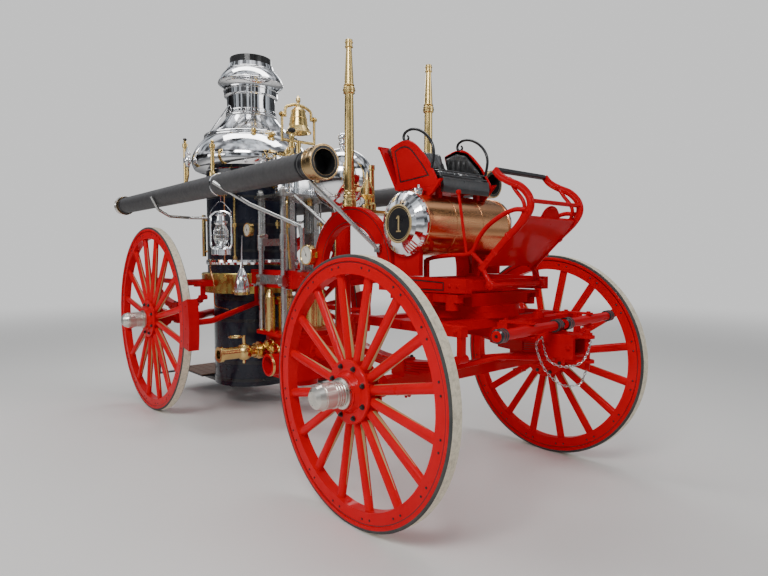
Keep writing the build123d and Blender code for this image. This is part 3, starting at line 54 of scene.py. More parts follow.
CAP_END = 909
SPOKES = 16
RIM_STEPS = 96
BOILER_X = -2175
SHELL_TOP = 1742
HOOD_TOP = 2180
BELT_RADIUS = 382
DOOR_FACE = BOILER_X - 329.5
GLASS_X, GLASS_Y = -1915, -280
STEM_X, STEM_Y = -2343, -454
FINIAL_X, FINIAL_Y = -2281, -462
BELL_X, BELL_PIVOT = -1512, 2056
ENGINE_X = -1510
CYLINDER_Y = 95
CYLINDER_TOP = 1768
PLATE_BOTTOM = 1495
COLUMN_X = 146
COLUMN_Y = 215
SUCTION_X = ENGINE_X + 60
DISCHARGE_X = ENGINE_X - 90
ARCH_X = -554
ARCH_Z = 1036
ARCH_OUTER = 334
ARCH_INNER = 240
RAIL_SIDE = 305
RAIL_BOTTOM = 945
RAIL_TOP = 1019
REAR_RAIL_SIDE = 190
REAR_BAR_SIDE = 518
TANK_X = -122
TANK_Z = 1260
TANK_FACE = 348
SEAT_SIDE = 204
SEAT_HALF = 174
SEAT_FLOOR = 1454
ARM_FACE = 190
PLEAT = 48
FOOT_SIDE = 186
PLAYPIPE_X, PLAYPIPE_SIDE = -565, 293
NOZZLE_X, NOZZLE_Y = -590, -152
ACORN_X, ACORN_Y = -645, -73
HOSE_Y = 612
HOSE_Z = 1540
HOSE_RADIUS = 65
HOSE_FRONT = -440
HOSE_BACK = -3240
LANTERN_X = -1421
LANTERN_BOTTOM = 1118
CAN_X, CAN_Y, CAN_Z = -1700, -338, 852
# A singletree's black end: distance along, radius
TREE_END = ((0, 22), (2, 26.8), (12, 26.8), (14, 25.6), (17, 26.8), (27, 26.8), (29, 25.6), (32, 26.8),
            (42, 26.6), (47.6, 20), (48.2, 0))
# How far the lantern and the doubletree are turned from square
LANTERN_TURN, TREE_TURN = radians(49), radians(5.5)
SIDES = (("right", -1), ("left", 1))
WHEELS = (("front", 0, FRONT_RADIUS), ("rear", REAR_AXLE_X, REAR_RADIUS))
UP, ACROSS, ALONG = Vector((0, 0, 1)), Vector((0, 1, 0)), Vector((1, 0, 0))

# Lamps: name, place, what it faces, width and height, watts
LAMPS = (
    ("key", (3.5, -4.5, 5.2), (0, 0, 0.9), (3.2, 1.6), 240),
    ("fill", (5.5, 2.5, 3.6), (0, 0, 0.9), (2.6, 2.6), 50),
    ("top", (-0.6, 0.2, 5.4), (-0.4, 0, 0), (5.0, 1.4), 140),
    ("rim", (-4.5, 3.5, 4.2), (-0.5, 0, 1.0), (3.0, 1.2), 80),
    ("side", (-1.5, -6.0, 2.6), (-0.5, 0, 1.0), (4.0, 1.0), 50),
)
# Bands that bright metal reflects, from below to above: height from 0 to 1, tone
BANDS = ((0.0, 0.50), (0.03, 0.16), (0.16, 0.035), (0.27, 0.05), (0.33, 0.62), (0.44, 0.80),
         (0.49, 0.12), (0.60, 0.06), (0.68, 0.95), (0.86, 1.0), (0.93, 0.25), (1.0, 0.15))
PALE = (0.86, 0.86, 0.86, 1)


# Node trees
class Graph:
    """A node tree with short calls for its nodes."""

    def __init__(self, tree, space):
        self.tree = tree
        self.source = self.node("TexCoord").outputs[space]

    def node(self, kind, **values):
        made = self.tree.nodes.new("ShaderNode" + kind)
        for key, value in values.items():
            made.inputs[key.replace("_", " ")].default_value = value
        return made

    def link(self, a, b):
        self.tree.links.new(a, b)

    def noise(self, scale, detail=4.0, rough=0.55, stretch=None):
        made = self.node("TexNoise", Scale=scale, Detail=detail, Roughness=rough)
        source = self.source
        if stretch:
            mapping = self.node("Mapping", Scale=stretch)
            self.link(source, mapping.inputs["Vector"])
            source = mapping.outputs["Vector"]
        self.link(source, made.inputs["Vector"])
        return made.outputs["Fac"]

    def ramp(self, value, low, high, start=0.35, end=0.65):
        made = self.node("MapRange", From_Min=start, From_Max=end, To_Min=low, To_Max=high)
        self.link(value, made.inputs["Value"])
        return made.outputs["Result"]

    def maths(self, operation, *values):
        made = self.node("Math")
        made.operation = operation
        for value, socket in zip(values, made.inputs):
            self.link(value, socket)
        return made.outputs[0]

    def mixed(self, share, a, b):
        """One shader or the other, by a share from 0 to 1."""
        made = self.node("MixShader")
        for value, socket in zip((share, a, b), made.inputs):
            self.link(value, socket)
        return made.outputs[0]


# Camera, floor and light
def make_camera():
    """The camera as fitted to the photo."""
    data = bpy.data.cameras.new("camera")
    data.sensor_width = 36
    data.lens = 26.44
    data.clip_end = 200
    camera = bpy.data.objects.new("camera", data)
    camera.location = (AXLE + 1.805, -2.1125, 1.1068)
    look = Vector((-0.75356, 0.65507, -0.05497))
    camera.rotation_euler = look.to_track_quat("-Z", "Y").to_euler()
    bpy.context.collection.objects.link(camera)
    bpy.context.scene.camera = camera


def make_lamps():
    for name, place, target, size, power in LAMPS:
        data = bpy.data.lights.new(name, "AREA")
        data.shape = "RECTANGLE"
        data.size, data.size_y = size
        data.energy = power
        lamp = bpy.data.objects.new(name, data)
        lamp.location = place
        way = Vector(target) - Vector(place)
        lamp.rotation_euler = way.to_track_quat("-Z", "Y").to_euler()
        bpy.context.collection.objects.link(lamp)


def make_world():
    """A pale background for the camera, dim light all round, and light and dark bands and
    upright streaks for bright metal."""
    world = bpy.data.worlds.new("studio")
    bpy.context.scene.world = world
    world.use_nodes = True
    world.node_tree.nodes.clear()
    graph = Graph(world.node_tree, "Generated")
    split = graph.node("SeparateXYZ")
    graph.link(graph.source, split.inputs[0])
    bands = graph.node("ValToRGB")
    ramp = bands.color_ramp
    while len(ramp.elements) < len(BANDS):
        ramp.elements.new(0.5)
    for element, (place, tone) in zip(ramp.elements, BANDS):
        element.position = place
        element.color = (tone * 0.96, tone * 0.98, tone * 1.04, 1)
    graph.link(split.outputs["Z"], bands.inputs[0])
    shine = graph.node("Background")
    graph.link(bands.outputs["Color"], shine.inputs["Color"])
    patches = graph.ramp(graph.noise(2.8, 1.0, 0.5), 0.16, 1.0, 0.42, 0.60)
    graph.link(patches, shine.inputs["Strength"])
    upright = graph.node("Background", Color=(0.86, 0.93, 1.0, 1))
    streaks = graph.ramp(graph.noise(1.0, 4.0, 0.5, (5.5, 5.5, 0.5)), 0.0, 0.6, 0.50, 0.60)
    graph.link(streaks, upright.inputs["Strength"])
    studio = graph.node("AddShader")
    graph.link(shine.outputs[0], studio.inputs[0])
    graph.link(upright.outputs[0], studio.inputs[1])
    dim = graph.node("Background", Color=(0.80, 0.82, 0.85, 1), Strength=0.22)
    pale = graph.node("Background", Color=PALE, Strength=1.0)
    ray = graph.node("LightPath").outputs
    lit = graph.mixed(ray["Is Glossy Ray"], dim.outputs[0], studio.outputs[0])
    seen = graph.mixed(ray["Is Camera Ray"], lit, pale.outputs[0])
    graph.link(seen, graph.node("OutputWorld").inputs[0])


def make_floor():
    """A pale floor. Far from the object the camera sees it fade into the background."""
    size, near, far = 40, 2.6, 12.0
    mesh = bpy.data.meshes.new("floor")
    corners = [(-size, -size, 0), (size, -size, 0), (size, size, 0), (-size, size, 0)]
    mesh.from_pydata(corners, [], [(0, 1, 2, 3)])
    floor = bpy.data.objects.new("floor", mesh)
    bpy.context.collection.objects.link(floor)
    look = Look("floor", (0.84, 0.83, 0.81), rough=0.6)
    reach = look.node("VectorMath")
    reach.operation = "LENGTH"
    look.link(look.source, reach.inputs[0])
    fade = look.ramp(reach.outputs["Value"], 0.0, 1.0, near, far)
    fade.node.interpolation_type = "SMOOTHSTEP"
    share = look.maths("MULTIPLY", look.node("LightPath").outputs["Is Camera Ray"], fade)
    glow = look.node("Emission", Color=PALE)
    seen = look.mixed(share, look.shader.outputs[0], glow.outputs[0])
    look.link(seen, look.tree.nodes["Material Output"].inputs[0])
    mesh.materials.append(look.material)


# Materials. A noise is given as its scale, detail, roughness and stretch.
class Look(Graph):
    """A node material on a Principled shader, with short calls for what its surface shows."""

    def __init__(self, name, colour, metallic=0.0, rough=0.5, specular=None, coat=None):
        self.material = bpy.data.materials.new(name)
        self.material.use_nodes = True
        super().__init__(self.material.node_tree, "Object")
        self.shader = self.tree.nodes["Principled BSDF"]
        self.colour = colour
        self.height = None
        self.shader.inputs["Base Color"].default_value = (*colour, 1)
        self.shader.inputs["Metallic"].default_value = metallic
        self.shader.inputs["Roughness"].default_value = rough
        if specular is not None:
            self.shader.inputs["Specular IOR Level"].default_value = specular
        if coat:
            self.shader.inputs["Coat Weight"].default_value = coat[0]
            self.shader.inputs["Coat Roughness"].default_value = coat[1]

    def facing(self, axis):
        """How far the surface faces along one of the object's own axes, 0 to 1."""
        split = self.node("SeparateXYZ")
        self.link(self.source.node.outputs["Normal"], split.inputs[0])
        return self.maths("ABSOLUTE", split.outputs[axis])

    def blend(self, first, second, share):
        """A colour between two. Each is a colour or an output."""
        mix = self.node("Mix")
        mix.data_type = "RGBA"
        for key, value in (("A", first), ("B", second)):
            if isinstance(value, tuple):
                mix.inputs[key].default_value = (*value, 1)
            else:
                self.link(value, mix.inputs[key])
        self.link(share, mix.inputs["Factor"])
        return mix.outputs["Result"]

    def stain(self, other, amount, start, end, *noise):
        """Another colour, up to an amount, where the noise is high."""
        base = self.shader.inputs["Base Color"]
        first = base.links[0].from_socket if base.is_linked else self.colour
        share = self.ramp(self.noise(*noise), 0.0, amount, start, end)
        self.link(self.blend(first, other, share), base)

    def shine(self, low, high, *noise):
        """Roughness that wanders between two values."""
        self.link(self.ramp(self.noise(*noise), low, high, 0.3, 0.7), self.shader.inputs["Roughness"])

    def bump(self, value, strength, distance):
        made = self.node("Bump", Strength=strength, Distance=distance)
        self.link(value, made.inputs["Height"])
        if self.height is not None:
            self.link(self.height, made.inputs["Normal"])
        self.height = made.outputs["Normal"]
        self.link(self.height, self.shader.inputs["Normal"])

    def wave(self, strength, distance, *noise):
        self.bump(self.noise(*noise), strength, distance)

    def cells(self, strength, distance, scale):
        """Small pits or the grain of leather."""
        made = self.node("TexVoronoi", Scale=scale)
        self.link(self.source, made.inputs["Vector"])
        self.bump(made.outputs["Distance"], strength, distance)


def red_look(name, colour, wood=False):
    """Deep gloss coach paint: slow tone changes, brush waves and a few worn specks."""
    look = Look(name, colour, rough=0.34, specular=0.05, coat=(0.13, 0.05))
    red, green, blue = colour
    look.stain((red * 0.74, green * 0.5, blue * 0.5), 0.5, 0.35, 0.65, 3.1)
    look.stain((red * 1.15, green * 2.2, blue * 1.4), 0.35, 0.5, 0.7, 7.3, 3)
    look.stain((0.16, 0.012, 0.012), 0.45, 0.64, 0.74, 34, 7, 0.75)
    look.shine(0.26, 0.44, 14)
    look.wave(0.035, 0.002, 1.0, 3, 0.55, (120, 30, 120) if wood else (30, 30, 260))
    look.wave(0.02, 0.0006, 320, 2)
    return look


def paint(name, colour=(0.012, 0.012, 0.014), rough=0.3, wear=(0.05, 0.047, 0.043), coat=0.4):
    """Black enamel, or a painted line of another colour."""
    look = Look(name, colour, rough=rough, specular=0.3, coat=(coat, 0.1))
    look.stain(wear, 0.5, 0.55, 0.75, 19, 6, 0.7)
    look.shine(rough * 0.8, rough * 1.5, 12)
    look.wave(0.05, 0.001, 180, 3)
    return look


def nickel_look():
    """Bright nickel plate with polishing haze and a slight wave in the sheet."""
    look = Look("nickel", (0.90, 0.90, 0.91), metallic=1.0, rough=0.08)
    look.stain((0.70, 0.69, 0.68), 0.4, 0.52, 0.75, 9, 5, 0.65)
    look.shine(0.03, 0.13, 22)
    look.wave(0.12, 0.012, 5.0, 1)
    look.wave(0.02, 0.001, 90, 3)
    return look


def brass_look(name, colour, dark):
    look = Look(name, colour, metallic=1.0, rough=0.28)
    look.stain(dark, 0.35, 0.5, 0.76, 9, 4)
    look.shine(0.17, 0.30, 16, 3)
    look.wave(0.012, 0.0006, 60, 3)
    return look


def copper_look():
    """Hand-polished copper, streaked along the tank."""
    look = Look("copper", (0.74, 0.36, 0.17), metallic=1.0, rough=0.24)
    look.stain((0.58, 0.25, 0.11), 0.6, 0.42, 0.68, 1.0, 5, 0.6, (10, 1.0, 10))
    look.stain((0.80, 0.50, 0.28), 0.3, 0.5, 0.72, 1.0, 4, 0.55, (20, 1.6, 20))
    look.shine(0.17, 0.30, 1.0, 4, 0.55, (30, 2.5, 30))
    look.wave(0.05, 0.0012, 1.0, 4, 0.55, (60, 3, 60))
    look.wave(0.04, 0.008, 5, 2)
    return look


def steel_look(name, colour, rough):
    """Satin steel, brushed along its length."""
    look = Look(name, colour, metallic=1.0, rough=rough)
    look.stain((0.34, 0.32, 0.30), 0.5, 0.54, 0.76, 15, 6, 0.7)
    look.shine(rough * 0.8, rough * 1.25, 17)
    look.wave(0.03, 0.0004, 1.0, 3, 0.55, (260, 260, 12))
    return look


def rubber_look(name, colour, dust, amount, rough):
    look = Look(name, colour, rough=rough, specular=0.3)
    look.stain(dust, amount, 0.4, 0.7, 13, 7, 0.7)
    look.shine(rough * 0.85, min(rough * 1.2, 0.95), 60, 5)
    look.wave(0.25, 0.0012, 240, 5, 0.7)
    look.wave(0.15, 0.003, 24, 4)
    return look


def tyre_look():
    """Grey rubber whose worn tread is a pale beige, with scuffs across it and small pits."""
    look = rubber_look("tyre_rubber", (0.055, 0.056, 0.055), (0.13, 0.125, 0.11), 0.4, 0.8)
    base = look.shader.inputs["Base Color"]
    scuffs = look.ramp(look.noise(46, 8, 0.8), 0.0, 0.9, 0.44, 0.66)
    tread = look.blend((0.80, 0.72, 0.57), (0.48, 0.42, 0.31), scuffs)
    away = look.ramp(look.facing("Y"), 1.0, 0.0, 0.35, 0.55)
    look.link(look.blend(base.links[0].from_socket, tread, away), base)
    look.cells(0.2, 0.001, 170.0)
    return look


def leather_look():
    look = Look("leather", (0.016, 0.016, 0.017), rough=0.32, coat=(0.8, 0.12))
    look.stain((0.07, 0.062, 0.055), 0.5, 0.5, 0.72, 16, 6, 0.7)
    look.shine(0.26, 0.5, 30)
    look.cells(0.18, 0.0006, 620.0)
    look.wave(0.2, 0.003, 45)
    return look


def glass_look():
    look = Look("lamp_glass", (0.92, 0.95, 0.94), rough=0.04)
    look.shader.inputs["Transmission Weight"].default_value = 0.92
    look.shader.inputs["IOR"].default_value = 1.3
    look.shine(0.02, 0.1, 30)
    look.wave(0.05, 0.001, 20, 2)
    return look


def dial_look():
    look = Look("dial_enamel", (0.80, 0.78, 0.70), rough=0.25)
    look.stain((0.60, 0.54, 0.42), 0.5, 0.5, 0.75, 30, 5, 0.7)
    look.shine(0.2, 0.4, 20)
    look.wave(0.03, 0.0008, 90, 2)
    return look


def plank_look():
    look = Look("deck_wood", (0.16, 0.075, 0.035), rough=0.5)
    look.stain((0.09, 0.04, 0.02), 0.9, 0.4, 0.65, 1.0, 6, 0.6, (70, 5, 5))
    look.shine(0.4, 0.65, 1.0, 4, 0.55, (90, 9, 9))
    look.wave(0.2, 0.001, 1.0, 5, 0.55, (160, 8, 8))
    return look


LOOKS, SLOTS = {}, {}
NODE_LOOKS = {
    "shell": "boiler_shell", "band": "boiler_brass_band", "soot_and_shade": "stack_liner", "copper": "tank_barrel",
    "nickel": "boiler_chrome_jacket smoke_stack steam_cylinders air_chamber tank_ends lantern oil_can",
    "steel": "engine_frame crosshead_right crosshead_left hose_cradles",
    "brass": "pump_brass bell bell_bracket playpipes shelf_finials gauges boiler_fittings",
    "black": "fire_door seat_irons handrail rear_platform",
    "leather": "seat_cushions", "hose": "suction_hoses", "bronze": "hose_couplings",
}
WHEEL_LOOKS = {"tyre": "tyre", "wheel": "wood_red", "hub": "dull"}


def make_looks():
    """Every look, by the key that pieces use, with the record's material that it stands for."""
    for key, slot, look in (
        ("red", "red_paint", red_look("red_paint", (0.56, 0.0015, 0.008))),
        ("wood_red", "red_wood", red_look("red_wood", (0.70, 0.0020, 0.010), wood=True)),
        ("black", "black_iron", paint("black_iron")),
        ("stripe", "black_iron", paint("black_line", (0.010, 0.009, 0.009), 0.4, (0.03, 0.02, 0.02))),
        ("shell", "blued_shell",
         paint("blued_shell", (0.008, 0.010, 0.021), 0.22, (0.014, 0.016, 0.026), 0.2)),
        # Dull black: real soot in the stack liner, and painted shade inside the pump outlets and hose
        # couplings
        ("soot_and_shade", "black_iron", paint("soot_and_shade", (0.01, 0.01, 0.01), 0.6)),
        ("gold", "brass", paint("gold_line", (0.50, 0.38, 0.17), 0.4, (0.36, 0.25, 0.11))),
        ("nickel", "nickel", nickel_look()),
        ("brass", "brass", brass_look("brass", (0.76, 0.55, 0.22), (0.50, 0.33, 0.12))),
        ("bronze", "brass", brass_look("bronze", (0.52, 0.35, 0.17), (0.30, 0.18, 0.09))),
        ("band", "brass", brass_look("band_brass", (0.60, 0.46, 0.13), (0.44, 0.32, 0.10))),
        ("dull", "nickel", steel_look("dull_nickel", (0.66, 0.63, 0.57), 0.30)),
        ("steel", "bright_steel", steel_look("bright_steel", (0.50, 0.50, 0.49), 0.27)),
        ("copper", "copper", copper_look()),
        ("tyre", "tyre_rubber", tyre_look()),
        ("hose", "hose_rubber",
         rubber_look("hose_rubber", (0.062, 0.060, 0.062), (0.10, 0.097, 0.095), 0.5, 0.5)),
        ("leather", "black_leather", leather_look()),
        ("glass", "nickel", glass_look()),
        ("dial", "nickel", dial_look()),
        ("plank", "red_wood", plank_look()),
    ):
        LOOKS[key], SLOTS[key] = look.material, slot


def dress_nodes():
    """Every CAD node gets its material. What isn't listed is red."""
    listed = {name: look for look, names in NODE_LOOKS.items() for name in names.split()}
    for name, node in NODES.items():
        look = listed.get(name) or WHEEL_LOOKS.get(name.split("_")[0], "red")
        node.data.materials.clear()
        node.data.materials.append(LOOKS[look])


# Shapes
def at(x, y, z):
    """A place in the scene from one in the model, in mm from the front axle."""
    return Vector((AXLE + x / 1000, y / 1000, z / 1000))


def outline(y, *pairs):
    """Places at one y, from pairs of x and z."""
    return [at(x, y, z) for x, z in pairs]


def turns(count, start=0.0):
    """Angles spaced evenly round a circle."""
    return [start + 2 * pi * i / count for i in range(count)]


def spin(turn, side, up):
    """The direction that lies at an angle from side towards up."""
    return cos(turn) * side + sin(turn) * up


def square(way):
    """A direction, and two more that are square to it and to each other."""
    way = Vector(way).normalized()
    side = way.orthogonal().normalized()
    return way, side, way.cross(side)


def rounded(points, bend, steps=5):
    """The points with each inner corner turned into a short curve that starts a bend's length before it."""
    made = [points[0]]
    for before, corner, after in zip(points, points[1:], points[2:]):
        first, last = (before - corner), (after - corner)
        reach = min(bend, first.length * 0.48, last.length * 0.48)
        first, last = corner + first.normalized() * reach, corner + last.normalized() * reach
        for i in range(steps + 1):
            t = i / steps
            made.append((1 - t) ** 2 * first + 2 * t * (1 - t) * corner + t * t * last)
    return made + [points[-1]]


def curve(points, steps=7):
    """A smooth line through all the points."""
    ends = [points[0] * 2 - points[1]] + points + [points[-1] * 2 - points[-2]]
    made = []
    for a, b, c, d in zip(ends, ends[1:], ends[2:], ends[3:]):
        for i in range(steps):
            t = i / steps
            made.append(0.5 * (2 * b + (c - a) * t + (2 * a - 5 * b + 4 * c - d) * t * t
                               + (3 * b - a - 3 * c + d) * t ** 3))
    return made + [points[-1]]


def arc(x, z, radius, start, end, y, steps=24):
    """Points on an upright arc at one y, angles in degrees."""
    angles = [radians(start + (end - start) * i / steps) for i in range(steps + 1)]
    return [at(x + radius * cos(a), y, z + radius * sin(a)) for a in angles]


class Piece:
    """One mesh built up from turned, bent, boxed and painted forms. Lengths are in mm, places in metres."""

    def __init__(self):
        self.mesh = bmesh.new()

    def verts(self, points):
        return [self.mesh.verts.new(p) for p in points]

    def sheet(self, rings):
        """Faces from each ring of points to the next."""
        for a, b in zip(rings, rings[1:]):
            for i in range(len(a)):
                j = (i + 1) % len(a)
                self.mesh.faces.new((a[i], a[j], b[j], b[i]))

    def skin(self, rings, closed=False):
        """A solid from rings of points, closed on itself or with a face at either end."""
        self.sheet(rings + rings[:1] if closed else rings)
        if not closed:
            self.mesh.faces.new(rings[0][::-1])
            self.mesh.faces.new(rings[-1])

    def ring(self, centre, side, up, radius, steps):
        return self.verts(centre + radius / 1000 * spin(a, side, up) for a in turns(steps, pi / steps))

    def turned(self, place, way, profile, steps=24):
        """A turned form from (distance along, radius) pairs."""
        way, side, up = square(way)
        self.skin([self.ring(place + way * a / 1000, side, up, max(r, 0.05), steps) for a, r in profile])

    def band(self, place, way, inner, outer, long, ease, steps=48):
        """A strap round a bar or a barrel, centred on a place, with eased edges."""
        end, edge = long / 2, long / 2 - ease
        self.turned(place, way, [(-end, inner), (-edge, outer), (edge, outer), (end, inner)], steps)

    def tube(self, points, radius, steps=10, closed=False):
        count = len(points)
        radii = radius if hasattr(radius, "__len__") else [radius] * count
        ways = []
        for i in range(count):
            before = points[i - 1] if i or closed else points[0]
            after = points[(i + 1) % count] if i < count - 1 or closed else points[-1]
            ways.append((after - before).normalized())
        side = ways[0].orthogonal().normalized()
        rings = []
        for point, way, r in zip(points, ways, radii):
            side = (side - way * side.dot(way)).normalized()
            rings.append(self.ring(point, side, way.cross(side), r, steps))
        self.skin(rings, closed)

    def hoop(self, centre, way, radius, thick, steps=48, sides=8):
        """A round bar bent into a full circle."""
        _, side, up = square(way)
        points = [centre + radius / 1000 * spin(a, side, up) for a in turns(steps)]
        self.tube(points, thick, sides, closed=True)

    def handwheel(self, place, radius, steps, angles):
        """A level rim with a spoke at each angle."""
        self.hoop(place, UP, radius, 5, steps)
        for turn in angles:
            self.tube([place, place + radius / 1000 * spin(turn, ALONG, ACROSS)], 3.5, 6)

    def box(self, low, high):
        """A box between two places, its edges slightly eased."""
        corners = self.verts(product(*zip(low, high)))
        faces = ((0, 1, 3, 2), (4, 6, 7, 5), (0, 4, 5, 1), (2, 3, 7, 6), (0, 2, 6, 4), (1, 5, 7, 3))
        made = [self.mesh.faces.new([corners[i] for i in face]) for face in faces]
        edges = list({e for face in made for e in face.edges})
        ease = min(0.0015, 0.2 * min(abs(c) for c in high - low))
        bmesh.ops.bevel(self.mesh, geom=edges, offset=ease, segments=1, affect="EDGES")

    def plate(self, points, thick):
        """A flat plate from its outline at one y, outwards by a thickness."""
        self.skin([self.verts(p + d * ACROSS for p in points) for d in (0, thick / 1000)])

    def flat_bar(self, points, wide, deep):
        """A bar of rounded oblong section along a route in a plane of constant y."""
        ease = 0.30 * wide
        corners = []
        for a, b in ((1, 1), (-1, 1), (-1, -1), (1, -1)):
            flat = [(a * (wide / 2), b * (deep / 2 - ease)), (a * (wide / 2 - ease), b * deep / 2)]
            flat.insert(1, (a * (wide / 2 - 0.3 * ease), b * (deep / 2 - 0.3 * ease)))
            corners += flat if a * b > 0 else flat[::-1]
        rings = []
        for i, point in enumerate(points):
            way = (points[min(i + 1, len(points) - 1)] - points[max(i - 1, 0)]).normalized()
            up = ACROSS.cross(way)
            rings.append(self.verts(point + ACROSS * p / 1000 + up * q / 1000 for p, q in corners))
        self.skin(rings)

    def stripe(self, points, normal, width, closed=True, lift=0.4, sink=0.3):
        """A painted line just over a flat face. Its width may change from point to point."""
        normal = Vector(normal).normalized()
        low, high = normal * -sink / 1000, normal * lift / 1000
        count = len(points)
        widths = width if hasattr(width, "__len__") else [width] * count
        rings = []
        for i, (point, wide) in enumerate(zip(points, widths)):
            ways = []
            if i or closed:
                ways.append((point - points[i - 1]).normalized())
            if i < count - 1 or closed:
                ways.append((points[(i + 1) % count] - point).normalized())
            side = normal.cross(sum(ways, Vector()).normalized())
            side = side * wide / 2000 / max(0.5, side.dot(normal.cross(ways[0])))
            rings.append(self.verts(point + c for c in (side + low, side + high, high - side, low - side)))
        self.skin(rings, closed)

    def bolt(self, place, way, radius, high):
        """A six-sided nut or bolt head on its washer."""
        self.turned(place, way, [(-0.5, radius * 1.45), (high * 0.22, radius * 1.4)], 12)
        self.turned(place, way, [(0, radius * 1.1), (high * 0.85, radius * 1.1), (high, radius * 0.8)], 6)

    def rivet(self, place, way, radius, high):
        profile = [(-0.3, radius), (high * 0.5, radius * 0.88), (high * 0.85, radius * 0.5), (high, 0)]
        self.turned(place, way, profile, 10)

    def done(self, name, look, body="chassis", sharp=35):
        """Makes the object, on its body and with its material. Edges over the angle stay sharp."""
        bmesh.ops.recalc_face_normals(self.mesh, faces=self.mesh.faces)
        mesh = bpy.data.meshes.new(name)
        self.mesh.to_mesh(mesh)
        self.mesh.free()
        mesh.materials.append(LOOKS[look])
        mesh.shade_smooth()
        mesh.set_sharp_from_angle(angle=radians(sharp))
        made = bpy.data.objects.new(name, mesh)
        bpy.context.collection.objects.link(made)
        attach(made, body)
        return made


# Wheels
def wheel_trim():
    """Per wheel: pale tapers on the spokes, fine black lines, bolts, and rings on the hub and cap."""
    for (end, x, radius), (side, s) in product(WHEELS, SIDES):
        def spot(angle, r, y):
            return at(x + r * cos(angle), s * y, radius + r * sin(angle))
        rim, out = radius - TYRE_THICK, s * ACROSS
        # Along a spoke: distance from the hub's middle, the spoke's depth
        taper = ((136, 40.2), (250, 40.9), (rim - FELLOE_DEPTH - 60, 41.6))
        gold, black, red, bright = Piece(), Piece(), Piece(), Piece()
        for t in (-1, 1):
            face = TRACK + t * FELLOE_WIDTH / 2
            for angle in turns(SPOKES, pi / SPOKES):
                across = t * spin(angle, UP, -ALONG)
                edge = [spot(angle, r, TRACK) + across * deep / 2000 for r, deep in taper]
                gold.stripe(edge, across, [15, 10, 2], closed=False, sink=1.5)
                for d in (-25 / rim, 25 / rim):
                    black.rivet(spot(angle + d, rim - 24, face), t * out, 5.2, 3.5)
            black.stripe([spot(a, rim - 6, face) for a in turns(RIM_STEPS)], t * out, 3)
            # The steel channel that holds the tyre shows as a thin red flange
            flange = [(rim + r, TRACK + t * (TYRE_HALF + lift))
                      for r, lift in ((-1, -4), (-1, 1), (11, 1), (13, -0.5))]
            red.sheet([red.verts(spot(a, r, y) for a in turns(RIM_STEPS)) for r, y in flange])
        for angle in turns(8, pi / 8):
            black.turned(spot(angle, 108, HUB_FACE), out,
                         [(-0.5, 12), (2, 12), (2, 8.5), (9, 8.5), (13, 6), (14, 2)], 12)
            black.turned(spot(angle, 108, 2 * TRACK - HUB_FACE), -out, [(-0.5, 10), (6, 10), (8, 7)], 8)
        for y, r, thick in ((CAP_START - 2, 70, 3.5), (HUB_FACE, 86, 3), (HUB_FACE - 4, 128.5, 2.5)):
            red.hoop(spot(0, 0, y), out, r, thick)
        for y in (20, 32, 44, 56, 106):
            bright.hoop(spot(0, 0, CAP_START + y), out, 52, 2.6)
        bright.turned(spot(0, 0, CAP_END), out, [(-2, 22), (1.5, 20), (1.5, 12), (0.4, 10), (0.4, 0)], 6)
        for piece, name, look in ((gold, "spoke_stripes", "gold"), (black, "wheel_bolts", "stripe"),
                                  (red, "hub_rings", "wood_red"), (bright, "cap_rings", "dull")):
            piece.done(f"{name}_{end}_{side}", look, f"{end}_wheel_{side}")


# Frame and springs
def inset_lines():
    """Fine black lines on the arm panels, the rails, the arches and the rear frame, on both sides."""
    lines = Piece()
    for s in (-1, 1):
        y = s * (SEAT_SIDE + 1)
        top = curve(outline(y, (-306, 1630), (-252, 1645), (-196, 1628), (-122, 1552), (-72, 1490)))
        lines.stripe(top + [at(-264, y, 1476)], s * ACROSS, 7)
        for y, width, *corners in (
                (RAIL_SIDE, 6, (-196, 958), (120, 962), (120, 994), (-196, 1006)),
                (REAR_RAIL_SIDE, 5, (-2060, 912), (-1700, 912), (-1700, 1007), (-2060, 1007)),
                (REAR_BAR_SIDE, 3, (-2840, 912), (-1930, 912), (-1930, 933), (-2840, 933))):
            lines.stripe(outline(s * y, *corners), s * ACROSS, width)
        y, low = s * RAIL_SIDE, RAIL_BOTTOM + 12
        for r in (ARCH_INNER + 14, ARCH_OUTER - 14):
            line = arc(ARCH_X, ARCH_Z, r, 0, 180, y, 32)
            line = [at(ARCH_X + r, y, low)] + line + [at(ARCH_X - r, y, low)]
            lines.stripe(line, s * ACROSS, 4, closed=False)
    lines.done("black_lines", "stripe")


def frame_bolts():
    """Bolt heads where the beams, springs and ring arms meet the rails."""
    heads, carriage = Piece(), Piece()
    for s in (-1, 1):
        out = s * ACROSS
        for x in (158, 202, -287, -243, -1026, -990):
            heads.rivet(at(x, s * RAIL_SIDE, 982), out, 9, 6)
        for x in (-2300, -2100, -2050):
            heads.bolt(at(x, s * REAR_BAR_SIDE, 922), out, 7, 7)
        for place in arc(ARCH_X, ARCH_Z, (ARCH_INNER + ARCH_OUTER) / 2, 0, 180, s * (RAIL_SIDE - 40), 6):
            heads.rivet(place, -out, 6, 4)
        for x in (-322, -190, 0, 190, 322):
            carriage.bolt(at(x, s * 450, 811), out, 8, 8)
        for x, y in product((-28, 28), (420, 440)):
            carriage.bolt(at(x, s * y, 500), -UP, 6, 8)
        for x in (470, 580):
            carriage.bolt(at(x, s * 55, 738), out, 9, 8)
    carriage.bolt(at(0, 0, 770), -UP, 20, 14)
    heads.done("frame_bolts", "red")
    carriage.done("carriage_bolts", "red", "fore_carriage")


